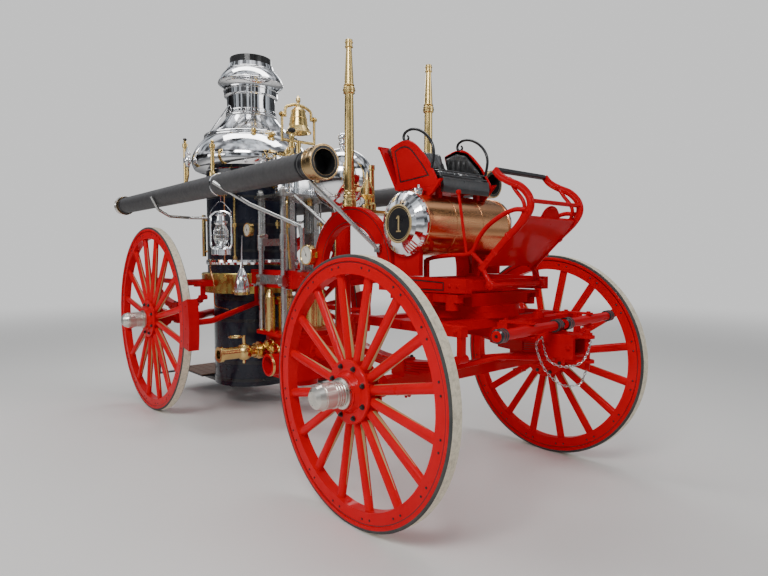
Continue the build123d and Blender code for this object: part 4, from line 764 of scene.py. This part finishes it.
def spring_lines():
    """The dark gaps between the leaves on both sides of each spring, and the bolts of its clip."""
    # The leaves' radius, thickness, number and width, and the height of the block under them
    camber, thick, count, wide, block = 1300, 11, 5, 55, 14
    for body, x, y, z, half in (("fore_carriage", 0, 430, FRONT_RADIUS + 32, 355),
                                ("chassis", REAR_AXLE_X, 500, REAR_RADIUS + 30, 450)):
        gaps, nuts = Piece(), Piece()
        low = z + block
        for s, face, i in product((-1, 1), (-1, 1), range(1, count)):
            angle = half * (1 - 0.16 * i) / camber * 180 / pi
            radius = camber - thick * (count - i)
            line = arc(x, low + camber, radius, -90 - angle, -90 + angle, s * y + face * wide / 2, 20)
            gaps.stripe(line, face * ACROSS, 1.8, closed=False)
        for s, dx, dy in product((-1, 1), (-26, 26), (-26, 26)):
            nuts.bolt(at(x + dx, s * y + dy, low + count * thick + 8), UP, 7, 9)
        gaps.done(f"leaf_gaps_{body}", "stripe", body)
        nuts.done(f"spring_nuts_{body}", "black", body)


# Tank, seat and footboard
def tank_badges():
    """Black discs with a gold ring and a plain numeral on the tank's ends, and straps round the barrel."""
    disc, gold, strap, cap = Piece(), Piece(), Piece(), Piece()
    for s in (-1, 1):
        face = at(TANK_X, s * TANK_FACE, TANK_Z)
        out = s * ACROSS
        disc.turned(face, out, [(-0.5, 83), (0.6, 83), (0.6, 30), (0.6, 0)], 48)
        gold.hoop(face + out * 0.002, out, 85, 4.5)
        gold.hoop(face + out * 0.0005, out, 74, 1.2)
        # A numeral one, drawn as seen from outside: stem, flag and foot
        for width, *stroke in ((9, (0, -34), (0, 36)), (6, (-1, 36), (-15, 24)), (6, (-15, -35), (15, -35))):
            points = [face + out * 0.0006 + Vector((-s * a / 1000, 0, b / 1000)) for a, b in stroke]
            gold.stripe(points, out, width, closed=False, lift=0.8)
        strap.hoop(at(TANK_X, s * 292, TANK_Z), out, 147.5, 4, 64)
        strap.band(at(TANK_X, s * 96, TANK_Z), ACROSS, 147.5, 149, 28, 1, 64)
    cap.turned(at(TANK_X + 20, -240, TANK_Z + 142), UP,
               [(0, 24), (12, 24), (14, 30), (24, 30), (27, 24), (30, 8), (44, 6), (48, 0)])
    disc.done("tank_discs", "black")
    gold.done("tank_numerals", "gold")
    strap.done("tank_straps", "copper")
    cap.done("tank_filler", "nickel")


def applied(piece):
    """Bakes the modifiers of a piece into its mesh."""
    bpy.context.view_layer.update()
    shown = piece.evaluated_get(bpy.context.evaluated_depsgraph_get())
    mesh = bpy.data.meshes.new_from_object(shown)
    old = piece.data
    piece.modifiers.clear()
    piece.data = mesh
    bpy.data.meshes.remove(old)


def stuffed(name, *shape):
    """A stuffed piece across the seat: its side outline drawn in, blown up as cloth, then smoothed."""
    swell = 0.011
    middle = sum((Vector(p) for p in shape), Vector((0, 0))) / len(shape)
    drawn = [Vector(p) + (middle - Vector(p)).normalized() * 7 for p in shape]
    piece = Piece()
    piece.skin([piece.verts(outline(y, *drawn)) for y in (6 - SEAT_HALF, SEAT_HALF - 6)])
    made = piece.done(name, "leather")
    scene = bpy.context.scene
    remesh = made.modifiers.new("remesh", "REMESH")
    remesh.mode = "VOXEL"
    remesh.voxel_size = 0.006
    applied(made)
    start = [v.co.copy() for v in made.data.vertices]
    cloth = made.modifiers.new("cloth", "CLOTH")
    cloth.settings.use_pressure = True
    cloth.settings.uniform_pressure_force = 4
    cloth.settings.effector_weights.gravity = 0
    for number in range(1, 21):
        scene.frame_set(number)
    applied(made)
    scene.frame_set(1)
    for vertex, old in zip(made.data.vertices, start):
        move = vertex.co - old
        if move.length > swell:
            vertex.co = old + move.normalized() * swell
    return made


def groove(y):
    """How deep a sewn channel is at a place across the seat, from 0 to 1."""
    pitch = PLEAT / 1000
    return exp(-(((y + pitch / 2) % pitch - pitch / 2) / 0.005) ** 2)


def seat_leather():
    """Seat and back cushions with sewn channels and welts, the front roll, and the padded arms."""
    seat = stuffed("seat_cushion", (-284, SEAT_FLOOR), (-30, SEAT_FLOOR), (-26, 1482), (-34, 1510),
                   (-60, 1518), (-270, 1516), (-286, 1500))
    back = stuffed("back_cushion", (-349, 1528), (-276, 1530), (-284, 1560), (-322, 1632), (-346, 1668),
                   (-368, 1676), (-426, 1662))
    floor, brow = at(0, 0, SEAT_FLOOR + 0.5), at(-52, 0, 1500)
    lean = Vector((128, 0, 70)).normalized()
    for vertex in seat.data.vertices:
        place = vertex.co
        if place.z > brow.z and place.x < brow.x:
            place.z -= 0.007 * groove(place.y)
        place.z = max(place.z, floor.z)
    for vertex in back.data.vertices:
        if vertex.normal.dot(lean) > 0.2:
            vertex.co -= lean * 0.010 * groove(vertex.co.y)
    for piece in (seat, back):
        smooth = piece.modifiers.new("smooth", "SUBSURF")
        smooth.levels = smooth.render_levels = 1
        applied(piece)
        piece.data.shade_smooth()
    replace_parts(seat, "seat_cushions")
    welts, apron, buttons = Piece(), Piece(), Piece()
    for x, z in ((-23, 1470), (-21, 1490), (-33, 1514)):
        half = [(-200, SEAT_HALF - 4), (x - 8, SEAT_HALF - 4), (x - 2, SEAT_HALF - 16)]
        route = [(a, -y) for a, y in half] + [(x, 0)] + half[::-1]
        welts.tube(rounded([at(a, y, z) for a, y in route], 0.012), 3.6, 8)
    welts.done("seat_welts", "leather")
    roll = outline(-168, (-26, 1412), (-14, 1410), (-8, 1440), (-14, 1480), (-30, 1484))
    apron.plate(rounded(roll, 0.012), 336)
    apron.done("seat_apron", "leather")
    for name, s in SIDES:
        arm_pad(name, s)
        for i in range(5):
            place = at(-262 + 44 * i, s * 174.5, 1560 - 8 * abs(i - 1))
            buttons.turned(place, -s * ACROSS, [(0, 6), (2.5, 5), (3.5, 0)], 12)
    buttons.done("arm_buttons", "leather")


def arm_pad(name, s):
    """The leather inside one arm, in soft upright rolls, flat where it lies on the panel."""
    shape = ((-328, 1638), (-286, 1503), (-284, SEAT_FLOOR + 2), (-34, SEAT_FLOOR + 2), (-42, 1474),
             (-100, 1554), (-184, 1638), (-248, 1656))
    back, front, columns, rows = -326, -36, 56, 16
    rings = []
    for i in range(columns + 1):
        x = back + (front - back) * i / columns
        crossings = [z0 + (z1 - z0) * (x - x0) / (x1 - x0)
                     for (x0, z0), (x1, z1) in zip(shape, shape[1:] + shape[:1])
                     if min(x0, x1) <= x <= max(x0, x1) and x0 != x1]
        low, high = min(crossings), max(crossings)
        roll = abs(sin(pi * (x - back) / 36))
        near, far = [], []
        for j in range(rows + 1):
            t = j / rows
            edge = min(1.0, 6 * t, 6 * (1 - t), (x + 1 - back) / 14, (front + 1 - x) / 14)
            thick = 3 + 9.5 * sqrt(max(edge, 0.0)) * (0.62 + 0.38 * roll)
            z = low + (high - low) * t
            near.append(at(x, s * (ARM_FACE - 1 - thick), z))
            far.append(at(x, s * (ARM_FACE - 0.5), z))
        rings.append(near + far[::-1])
    piece = Piece()
    piece.skin([piece.verts(ring) for ring in rings])
    return piece.done(f"arm_pad_{name}", "leather", sharp=60)


def seat_sides():
    """The arm panels' smooth faces with a rolled edge, the roll on the back board, and the arm rails."""
    red, black = Piece(), Piece()
    for s in (-1, 1):
        y = s * ARM_FACE
        top = curve(outline(y, (-337, 1652), (-249, 1672), (-178, 1650), (-90, 1564), (-31, 1473)), 8)
        shape = outline(y, (-290, 1440), (-292, 1501)) + top + [at(-24, y, 1440)]
        red.plate(shape, s * (SEAT_SIDE - ARM_FACE + 1))
        red.tube([p + s * 0.0075 * ACROSS for p in rounded(shape + shape[:1], 0.004, 2)], 7, 10)
        rail = curve(outline(
            s * 197, (-224, 1698), (-216, 1686), (-224, 1675), (-240, 1674), (-252, 1692), (-240, 1714),
            (-203, 1724), (-150, 1714), (-98, 1684), (-60, 1640), (-46, 1590), (-60, 1516)), 6)
        black.tube(rail, [4.5 + 2.5 * min(1, i / 18) for i in range(len(rail))], 12)
    red.tube([at(-440, -197, 1668), at(-440, 197, 1668)], 9, 12)
    red.done("arm_sides", "red")
    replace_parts(black.done("arm_rails", "black"), "seat_irons")


def footboard():
    """The rails with their curls, the lower tubes, the board with its crest, the step and the lever."""
    red = Piece()
    for s in (-1, 1):
        y = s * FOOT_SIDE
        red.flat_bar(curve(outline(
            y, (300, 1474), (326, 1446), (370, 1420), (430, 1392), (471, 1350), (479, 1304), (449, 1256),
            (381, 1196), (310, 1130), (232, 1050))), 20, 30)
        red.tube(curve(outline(
            y, (-100, 1094), (-40, 1106), (60, 1114), (150, 1118), (188, 1138), (216, 1188), (262, 1236),
            (330, 1276), (400, 1300), (462, 1296))), 10, 12)
        curl = curve(outline(
            y * 0.97, (374, 1420), (404, 1378), (440, 1334), (446, 1296), (424, 1254), (380, 1208),
            (310, 1142), (252, 1084)))
        red.tube(curl, 8, 12)
        red.turned(curl[0], (-0.5, 0, 0.86), [(-8, 8), (-2, 12), (6, 13), (14, 9), (17, 0)], 16)
        red.box(at(-112, y - 10, 1005), at(-88, y + 10, 1096))
        red.tube(curve(outline(y, (244, 1058), (256, 1030), (276, 1004), (285, 984)), 4), 10, 12)
        red.tube(outline(y, (180, 1126), (250, 1066)), 9, 10)
        red.band(at(285, y, 984), ACROSS, 16, 20, 28, 3, 20)
        red.rivet(at(285, y + s * 14, 984), s * ACROSS, 9, 6)
    for x, z, r in ((285, 984, 11), (478, 1332, 9)):
        red.tube([at(x, -FOOT_SIDE, z), at(x, FOOT_SIDE, z)], r, 14)
    board = outline(-178, (246, 1080), (256, 1066), (440, 1234), (466, 1266), (455, 1275), (430, 1248))
    red.plate(board, 356)
    crest = [at(447 + 12 * sin(a), 62 * cos(a), 1254 + 62 * sin(a)) for a in turns(32)[:17]]
    red.tube(crest, 7, 10)
    red.skin([red.verts(p + d * ALONG for p in crest) for d in (-0.005, 0.005)])
    red.box(at(-112, -265, RAIL_TOP - 40), at(-88, 265, RAIL_TOP - 14))
    low, high = outline(-FOOT_SIDE, (149, 1116), (99, 1398))
    red.tube([low, high], 7, 12)
    red.turned(high, high - low, [(-12, 7), (-8, 11), (0, 12.5), (8, 10), (12, 0)], 16)
    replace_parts(red.done("foot_rails", "red"), "footboard")


def footboard_trim():
    """Ribs on the board, and bolts and clips on its rails."""
    ribs, clips = Piece(), Piece()
    start, way, count = Vector((262, 1072)), Vector((170, 158)), 9
    up = Vector((-way.y, way.x)).normalized()
    for i in range(count):
        x, z = start + way * (i + 0.5) / count + up * 10.5
        rib = [at(x, -160, z), at(x, 160, z)]
        ribs.stripe(rib, (up.x, 0, up.y), 9, closed=False, lift=2.2, sink=3)
    for s in (-1, 1):
        for x, z in ((306, 1126), (376, 1192)):
            clips.tube(outline(s * FOOT_SIDE, (x - 11, z + 12), (x + 11, z - 12)), 11.5, 12)
        for place in outline(s * 196, (420, 1394), (470, 1290), (270, 1090)):
            clips.rivet(place, s * ACROSS, 7, 5)
    ribs.done("foot_ribs", "hose")
    clips.done("foot_clips", "red")


# Boiler, engine and pump
def boiler_trim():
    """Beads on the hood and stack, rivets on the belt, lagging bands, cocks round the hood and pipes."""
    bright, brass, black, copper, door = Piece(), Piece(), Piece(), Piece(), Piece()
    # Beads: height, radius, thickness of the bar
    for z, r, thick in (
            (SHELL_TOP + 4, 346, 5), (SHELL_TOP + 252, 346, 6), (SHELL_TOP + 268, 345, 5),
            (HOOD_TOP - 14, 186, 6), (HOOD_TOP + 22, 180, 5), (2311, 180, 5), (2356, 202, 4),
            (2416, 239, 5), (2512, 176, 5)):
        bright.hoop(at(BOILER_X, 0, z), UP, r, thick, 72)
    for turn in turns(40, pi / 40):
        way = spin(turn, ALONG, ACROSS)
        bright.rivet(at(BOILER_X, 0, HOOD_TOP + 10) + way * 0.186, way, 5, 4)
        if abs(way.y) > 0.62 or way.x < 0:
            for z in (862, 976):
                brass.rivet(at(BOILER_X, 0, z) + way * BELT_RADIUS / 1000, way, 5, 3.5)
    for z in (1150, 1340, 1540, 1700):
        black.band(at(BOILER_X, 0, z), UP, 338, 339.2, 18, 1, 72)
    for z in (200, 330, 640, 800):
        black.turned(at(BOILER_X, 0, z), UP, [(-12, 297), (-10.5, 299), (11, 299), (12, 297)], 72)
    # Cocks and finials: place of the foot, height, radius, and what the knob is made of
    for x, y, z, high, r, knob in (
            (-1860, -150, 1905, 90, 12, brass), (-1800, -40, 1800, 170, 17, brass),
            (-1600, -8, 1775, 112, 16, black), (-1420, -110, 1775, 150, 15, black)):
        shape = [(0, 1.6), (8 / high, 1.6), (10 / high, 0.8), (0.3, 0.8), (0.34, 1.5), (0.52, 1.5),
                 (0.56, 0.9), (0.7, 1), (0.78, 1.3), (0.9, 1.2), (1, 0.4)]
        brass.turned(at(x, y, z), UP, [(high * a, r * b) for a, b in shape], 20)
        shape = [(-4, 0.9), (2, 1.5), (12, 1.7), (24, 1.3), (30, 0.2)]
        knob.turned(at(x, y, z + high), UP, [(a, r * b) for a, b in shape], 20)
    # The tall bright finial beside the near stem, with its curved arm
    arm = [at(STEM_X, STEM_Y, 1620), at(-2310, -470, 1640)]
    arm += [at(FINIAL_X, FINIAL_Y, z) for z in (1690, 1770)]
    brass.tube(rounded(arm, 0.03), 10, 12)
    finial = [(0, 14), (20, 16), (34, 26), (60, 27), (84, 15), (100, 22), (120, 12), (150, 3), (158, 0)]
    bright.turned(at(FINIAL_X, FINIAL_Y, 1760), UP, finial, 20)
    black.turned(at(STEM_X, STEM_Y, 1966), UP, [(0, 8), (2, 13), (10, 14), (16, 8)], 16)
    # The throttle's handwheel, and the stay from the neck to the hood
    black.handwheel(at(ENGINE_X - 196, 0, 1845), 44, 40, turns(4, 0.3))
    bright.tube([at(-2176, -182, 2236), at(-2176, -452, 1846)], 4.5, 10)
    # Pipes on the shell, and the gauge glass
    for r, *route in (
            (6, (-1990, -292, 1640), (-1962, -330, 1620), (-1955, -338, 1400), (-1955, -338, 1060)),
            (5.5, (-2093, -356, 1092), (-2080, -395, 1075), (-2010, -420, 1000), (-1960, -420, 930),
             (-1955, -420, 760), (-1990, -300, 730))):
        copper.tube(rounded([at(*p) for p in route], 0.03), r, 10)
    brass.tube([at(GLASS_X, GLASS_Y, 1560), at(GLASS_X, GLASS_Y, 1100)], 8, 12)
    for z in (1100, 1330, 1560):
        brass.band(at(GLASS_X, GLASS_Y, z), UP, 12, 15, 28, 4, 16)
        brass.tube([at(GLASS_X, GLASS_Y, z), at(GLASS_X - 25, GLASS_Y + 28, z)], 6, 10)
    # Rivets, latch and hinge straps on the fire door's face
    for y, z in product((-110, 0, 110), (372, 578)):
        door.rivet(at(DOOR_FACE, y, z), -ALONG, 7, 5)
    latch = [at(DOOR_FACE - x, -128, z) for x, z in ((2, 470), (22, 470), (24, 420), (2, 410))]
    door.tube(rounded(latch, 0.008), 5)
    for z in (395, 555):
        door.box(at(DOOR_FACE - 4, -20, z - 14), at(DOOR_FACE + 1, 138, z + 14))
    bright.done("hood_beads", "nickel")
    brass.done("boiler_cocks", "brass")
    black.done("boiler_bands", "black")
    copper.done("boiler_pipes", "copper")
    door.done("door_rivets", "black", "fire_door_body")


def engine_trim():
    """Nuts on the cylinder heads, lagging rings, oilers, glands and clamp bolts."""
    bright, brass, steel = Piece(), Piece(), Piece()
    for s in (-1, 1):
        centre = s * CYLINDER_Y
        for turn in turns(8, pi / 8):
            steel.bolt(at(ENGINE_X, centre, CYLINDER_TOP - 6) + spin(turn, ALONG, ACROSS) * 0.078, UP, 6, 9)
        for z in (1560, 1640, 1712):
            bright.hoop(at(ENGINE_X, centre, z), UP, 82.5, 3, 56)
        brass.turned(at(ENGINE_X + 40, s * (CYLINDER_Y + 22), CYLINDER_TOP + 6), UP,
                     [(0, 9), (14, 9), (16, 17), (40, 17), (44, 8), (56, 6)], 16)
        brass.turned(at(ENGINE_X, centre, PLATE_BOTTOM - 34), UP, [(0, 26), (10, 30), (26, 30), (34, 36)], 20)
        brass.turned(at(ENGINE_X, centre, 842), UP, [(-2, 30), (20, 30), (22, 22), (40, 20), (42, 14)], 20)
        for x in (ENGINE_X - COLUMN_X, ENGINE_X + COLUMN_X):
            y = s * COLUMN_Y
            for d, z in product((-14, 14), (928, 978)):
                steel.bolt(at(x + d, s * 241, z), s * ACROSS, 6, 7)
            steel.turned(at(x, y, PLATE_BOTTOM + 18), UP,
                         [(0, 30), (5, 30), (6, 24), (26, 24), (30, 18), (40, 17), (44, 8)], 6)
            for z in (1154, 1252):
                steel.hoop(at(x, y, z), UP, 21, 4, 24)
            brass.turned(at(x, y, 596), UP, [(0, 26), (10, 28), (20, 22)], 20)
        # Bright oilers on the guides
        for d in (-76, 76):
            brass.turned(at(ENGINE_X + d, s * 128, 1300), UP,
                         [(0, 6), (16, 6), (18, 15), (44, 15), (48, 6), (56, 5)], 16)
        drain = [at(ENGINE_X + x, s * y, z)
                 for x, y, z in ((120, 170, 1520), (150, 190, 1470), (158, 196, 1270), (170, 180, 1030))]
        brass.tube(rounded(drain, 0.03), 9, 12)
    bright.done("cylinder_rings", "nickel")
    brass.done("engine_brasses", "brass")
    steel.done("engine_nuts", "steel")


def pump_trim():
    """Caps, handwheels and bolts on the pump, and a black disc deep in each outlet as painted shade."""
    brass, red, black = Piece(), Piece(), Piece()
    for s in (-1, 1):
        out = s * ACROSS
        for x in (-150, -75, 0, 75, 150):
            red.bolt(at(ENGINE_X + x, s * 228, 610), UP, 8, 10)
        for x, z in ((-20, 525), (45, 500), (170, 510)):
            brass.turned(at(ENGINE_X + x, s * 245, z), out,
                         [(-1, 32), (8, 32), (10, 22), (18, 20), (19, 10), (30, 9), (32, 0)], 8)
            brass.hoop(at(ENGINE_X + x, s * 214, z), out, 30, 4, 32)
        brass.handwheel(at(DISCHARGE_X, s * 440, 585), 42, 36, turns(5))
        for y, r in ((556, 44), (300, 46)):
            brass.hoop(at(DISCHARGE_X, s * y, 480), out, r, 4, 40)
        # A black disc set deep in the outlet: painted shade for the dark inside of the mouth
        black.turned(at(DISCHARGE_X, s * 560, 480), out, [(-60, 29), (-59.5, 29), (-59.5, 0)], 24)
        for y in (286, 280, 274):
            brass.hoop(at(SUCTION_X, s * y, 400), out, 70, 3.5, 48)
        red.hoop(at(SUCTION_X, s * 205, 400), out, 76, 8, 48)
    for turn in turns(8, pi / 8):
        red.bolt(at(ENGINE_X + 248, 62 * cos(turn), 480 + 62 * sin(turn)), ALONG, 6, 8)
        red.bolt(at(-1010 + 62 * cos(turn), 62 * sin(turn), 1359), -UP, 6, 8)
    brass.done("pump_caps", "brass")
    red.done("pump_bolts", "red")
    black.done("outlet_painted_shade", "soot_and_shade")


def gauge_faces():
    """Enamel dials with ticks, a pointer and a brass bezel."""
    dial, mark, rim = Piece(), Piece(), Piece()
    out, ticks = -ACROSS, 24
    for x, y, z, r in ((-905, -343, 1118, 58), (-1759, -266, 1293, 48)):
        face = at(x, y, z)
        dial.turned(face, out, [(-0.3, r - 8), (0.6, r - 8), (0.6, 0)], 40)
        rim.hoop(face, out, r - 4, 4.5, 48)
        for i in range(ticks + 1):
            way = spin(radians(225 - i * 270 / ticks), ALONG, UP)
            long, wide = (20, 1.8) if i % 4 == 0 else (16, 1.0)
            ends = [face + out * 0.0006 + way * d / 1000 for d in (r - long, r - 11)]
            mark.stripe(ends, out, wide, closed=False, lift=0.3)
        pointer = [face + out * 0.0015 + spin(radians(118), ALONG, UP) * d / 1000 for d in (-12, r - 18)]
        mark.stripe(pointer, out, [4, 1.2], closed=False)
        mark.turned(face, out, [(0, 5), (2.6, 5), (3.2, 2)], 16)
    dial.done("gauge_dials", "dial")
    mark.done("gauge_marks", "stripe")
    rim.done("gauge_bezels", "brass")


# Lantern, hoses and small pieces
def lantern():
    """The hand lantern: tank, burner, glass globe in its wires, hood, side tubes, bail, hook and band."""
    metal, glass = Piece(), Piece()
    side, across = spin(LANTERN_TURN, ALONG, ACROSS), spin(LANTERN_TURN, ACROSS, -ALONG)

    def spot(a, z, b=0):
        return at(LANTERN_X, -HOSE_Y, LANTERN_BOTTOM + z) + side * a / 1000 + across * b / 1000
    globe = [(66, 30), (74, 36), (96, 44), (120, 46), (146, 43), (168, 35), (178, 31)]
    metal.turned(spot(0, 0), UP, [(0, 54), (3, 58), (34, 58), (40, 50), (52, 44), (56, 26), (58, 0)], 40)
    metal.turned(spot(0, 56), UP, [(0, 30), (6, 34), (10, 30), (14, 12), (34, 10), (36, 0)], 32)
    hood = [(0, 30), (6, 34), (12, 40), (24, 40), (28, 28), (54, 24), (60, 34), (66, 34), (74, 12), (82, 0)]
    metal.turned(spot(0, 180), UP, hood, 32)
    glass.turned(spot(0, 0), UP, globe, 40)
    for z, r, thick in ((4, 56, 2), (34, 57, 2), (98, 46.5, 1.4), (122, 48.5, 1.4), (148, 45.5, 1.4)):
        metal.hoop(spot(0, z), UP, r, thick, 40)
    for turn in turns(4, pi / 4):
        metal.tube([spot(0, z) + spin(turn, side, across) * (r + 2) / 1000 for z, r in globe], 1.4, 6)
    for bend, r, sides, *route in (
            (0.016, 6, 10, (44, 34), (62, 52), (63, 150), (62, 236), (34, 262), (0, 264)),
            (0.012, 2, 8, (62, 222), (63, 262), (16, 320), (0, 322))):
        for s in (-1, 1):
            metal.tube(rounded([spot(s * a, z) for a, z in route], bend), r, sides)
    metal.tube([spot(0, 318), at(LANTERN_X, -HOSE_Y, HOSE_Z - HOSE_RADIUS - 2)], 3, 8)
    metal.tube(rounded([spot(48, 46, -20), spot(54, 58, -34), spot(54, 74, -34)], 0.008), 2, 8)
    metal.band(at(LANTERN_X, -HOSE_Y, HOSE_Z), ALONG, 66, 69.5, 14, 0.5)
    made = metal.done("lantern_metal", "nickel")
    glass.done("lantern_globe", "glass")
    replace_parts(made, "lantern")


def hose_trim():
    """Clamps, dark ferrules and lugs at the hose ends, and painted shade in each coupling's throat: a black
    disc, a black lining and black on the inner part of its face.
    """
    bronze, black, bright, mouth = Piece(), Piece(), Piece(), Piece()
    for s in (-1, 1):
        def spot(x):
            return at(x, s * HOSE_Y, HOSE_Z)
        for x in (HOSE_FRONT - 40, HOSE_FRONT - 14, HOSE_BACK + 20, HOSE_BACK + 46):
            black.band(spot(x), ALONG, 65, 68.5, 12, 1.5)
        black.band(spot(HOSE_FRONT + 13), ALONG, 69, 71.2, 32, 1.5)
        for x, r, thick in ((30, 75, 3.6), (74, 79, 3.6), (100, 79, 3.6), (106, 79, 3)):
            bronze.hoop(spot(HOSE_FRONT + x), ALONG, r, thick, 56)
        # Painted shade: a black disc deep inside, a black lining down the bore, and black on the inner part
        # of the coupling's face
        mouth.turned(spot(HOSE_FRONT + 12), ALONG, [(0, 59.5), (1, 59.5), (1, 0)], 40)
        mouth.sheet([mouth.ring(spot(HOSE_FRONT + x), ACROSS, UP, r, 56)
                     for x, r in ((12, 59.7), (106, 59.7), (107.4, 61), (107.4, 73), (106.8, 73.5))])
        for turn in turns(3, 0.5):
            out = spin(turn, ACROSS, UP)
            bronze.turned(spot(HOSE_FRONT + 52) + out * 0.07, out, [(0, 12), (12, 11), (19, 7), (20, 0)], 16)
        for x in (20, 44):
            bright.hoop(spot(HOSE_BACK - x), ALONG, 76, 4, 56)
        bright.turned(spot(HOSE_BACK - 66), -ALONG, [(-1, 52), (0.6, 52), (0.6, 0)], 40)
    bronze.done("coupling_rings", "bronze")
    black.done("hose_clamps", "black")
    mouth.done("hose_throat_painted_shade", "soot_and_shade")
    bright.done("hose_caps", "nickel")


def pipe_trim():
    """Rings on the playpipes, the spare nozzle and the acorn."""
    brass = Piece()
    for s in (-1, 1):
        for z, r in ((1380, 36), (1424, 31), (1450, 28), (1970, 31), (1996, 26), (2190, 19), (2214, 19)):
            brass.hoop(at(PLAYPIPE_X, s * PLAYPIPE_SIDE, z), UP, r, 3, 40)
    for z, r in ((1366, 29), (1386, 29), (1442, 36)):
        brass.hoop(at(NOZZLE_X, NOZZLE_Y, z), UP, r, 3, 40)
    for z, r in ((1366, 24), (1404, 17), (1594, 16)):
        brass.hoop(at(ACORN_X, ACORN_Y, z), UP, r, 2.5, 32)
    brass.done("pipe_rings", "brass")


def bell_trim():
    """Raised rings on the bell, and the nuts of its pivot."""
    rings = Piece()
    for z, r in ((1949, 87), (1962, 80), (2044, 58), (2092, 50)):
        rings.hoop(at(BELL_X, 0, z), UP, r, 2.2, 48)
    for s in (-1, 1):
        rings.bolt(at(BELL_X, s * 141, BELL_PIVOT), s * ACROSS, 9, 8)
    rings.done("bell_rings", "brass", "bell_body")


def spaced(places, count):
    """A smooth line through places, cut into a number of equal lengths."""
    line = curve([at(*p) for p in places], 12)
    walk = [0.0]
    for a, b in zip(line, line[1:]):
        walk.append(walk[-1] + (b - a).length)
    points = []
    for i in range(count + 1):
        goal = min(walk[-1] * i / count, walk[-1] * 0.99999)
        k = max(j for j in range(len(walk) - 1) if walk[j] <= goal)
        points.append(line[k].lerp(line[k + 1], (goal - walk[k]) / (walk[k + 1] - walk[k])))
    return points


def draft_trim():
    """Black ends on the singletrees, nuts on the doubletree, and the chains of the pole pin."""
    # The doubletree's pin, how far ahead of it a singletree hangs, and how far out
    pin, reach, half = 400, 108, 265
    ahead, along = spin(TREE_TURN, ALONG, ACROSS), spin(TREE_TURN, ACROSS, -ALONG)
    nuts, chains = Piece(), Piece()
    nuts.bolt(at(pin, 0, 865), UP, 13, 12)
    for name, s in SIDES:
        black = Piece()
        out = along * s * half / 1000
        for t in (-1, 1):
            place = at(pin, 0, 822) + ahead * reach / 1000 + out + along * t * 0.195
            black.turned(place, along * t, TREE_END, 28)
        black.done(f"singletree_ends_{name}", "black", f"singletree_body_{name}")
        nuts.bolt(at(pin, 0, 853) + out, UP, 9, 8)
    # How many links each chain has, and the places that it hangs through
    for count, *places in (
            (30, (462, -66, 772), (470, -118, 740), (514, -122, 650), (566, -84, 590), (616, -30, 590),
             (634, -6, 652)),
            (32, (634, 12, 806), (647, -8, 752), (645, -66, 690), (592, -104, 668), (520, -108, 690),
             (462, -66, 772))):
        points = spaced(places, count)
        for i, (a, b) in enumerate(zip(points, points[1:])):
            way = (b - a).normalized()
            flat = way.cross(UP).normalized()
            wide = flat if i % 2 else way.cross(flat)
            long = (b - a).length / 2 + 0.0016
            loop = [(a + b) / 2 + way * long * cos(t) + wide * 0.0042 * sin(t) for t in turns(14)]
            chains.tube(loop, 1.5, 6, closed=True)
    nuts.done("doubletree_nuts", "red", "doubletree_body")
    chains.done("pin_chains", "steel", "fore_carriage")


def deck_trim():
    """Planks on the rear platform, and the oil can's bright body, spout and brass base."""
    planks, can, brass = Piece(), Piece(), Piece()
    for y in range(-288, 288, 64):
        planks.box(at(-2938, y, 160), at(-2500, y + 60, 172))
    foot = at(CAN_X, CAN_Y, CAN_Z)
    spout = outline(CAN_Y, (CAN_X, 1040), (CAN_X + 2, 1150), (CAN_X + 10, 1252))
    can.tube(spout, [7, 4.5, 2.2], 14)
    body = [(19, 50), (24, 51), (56, 50), (90, 46), (118, 38), (140, 26), (152, 15), (176, 12), (186, 8)]
    can.turned(foot, UP, body, 40)
    brass.turned(foot, UP, [(-0.3, 50), (1, 52.6), (19, 52.6), (22, 50)], 40)
    brass.hoop(at(CAN_X, CAN_Y, CAN_Z + 28), UP, 43, 3, 36)
    planks.done("deck_planks", "plank")
    can.done("can_body", "nickel")
    brass.done("can_base", "brass")


for build in (
        make_camera, make_lamps, make_world, make_floor, make_looks, dress_nodes, wheel_trim, inset_lines,
        frame_bolts, spring_lines, tank_badges, seat_leather, seat_sides, footboard, footboard_trim,
        boiler_trim, engine_trim, pump_trim, gauge_faces, lantern, hose_trim, pipe_trim, bell_trim,
        draft_trim, deck_trim):
    build()
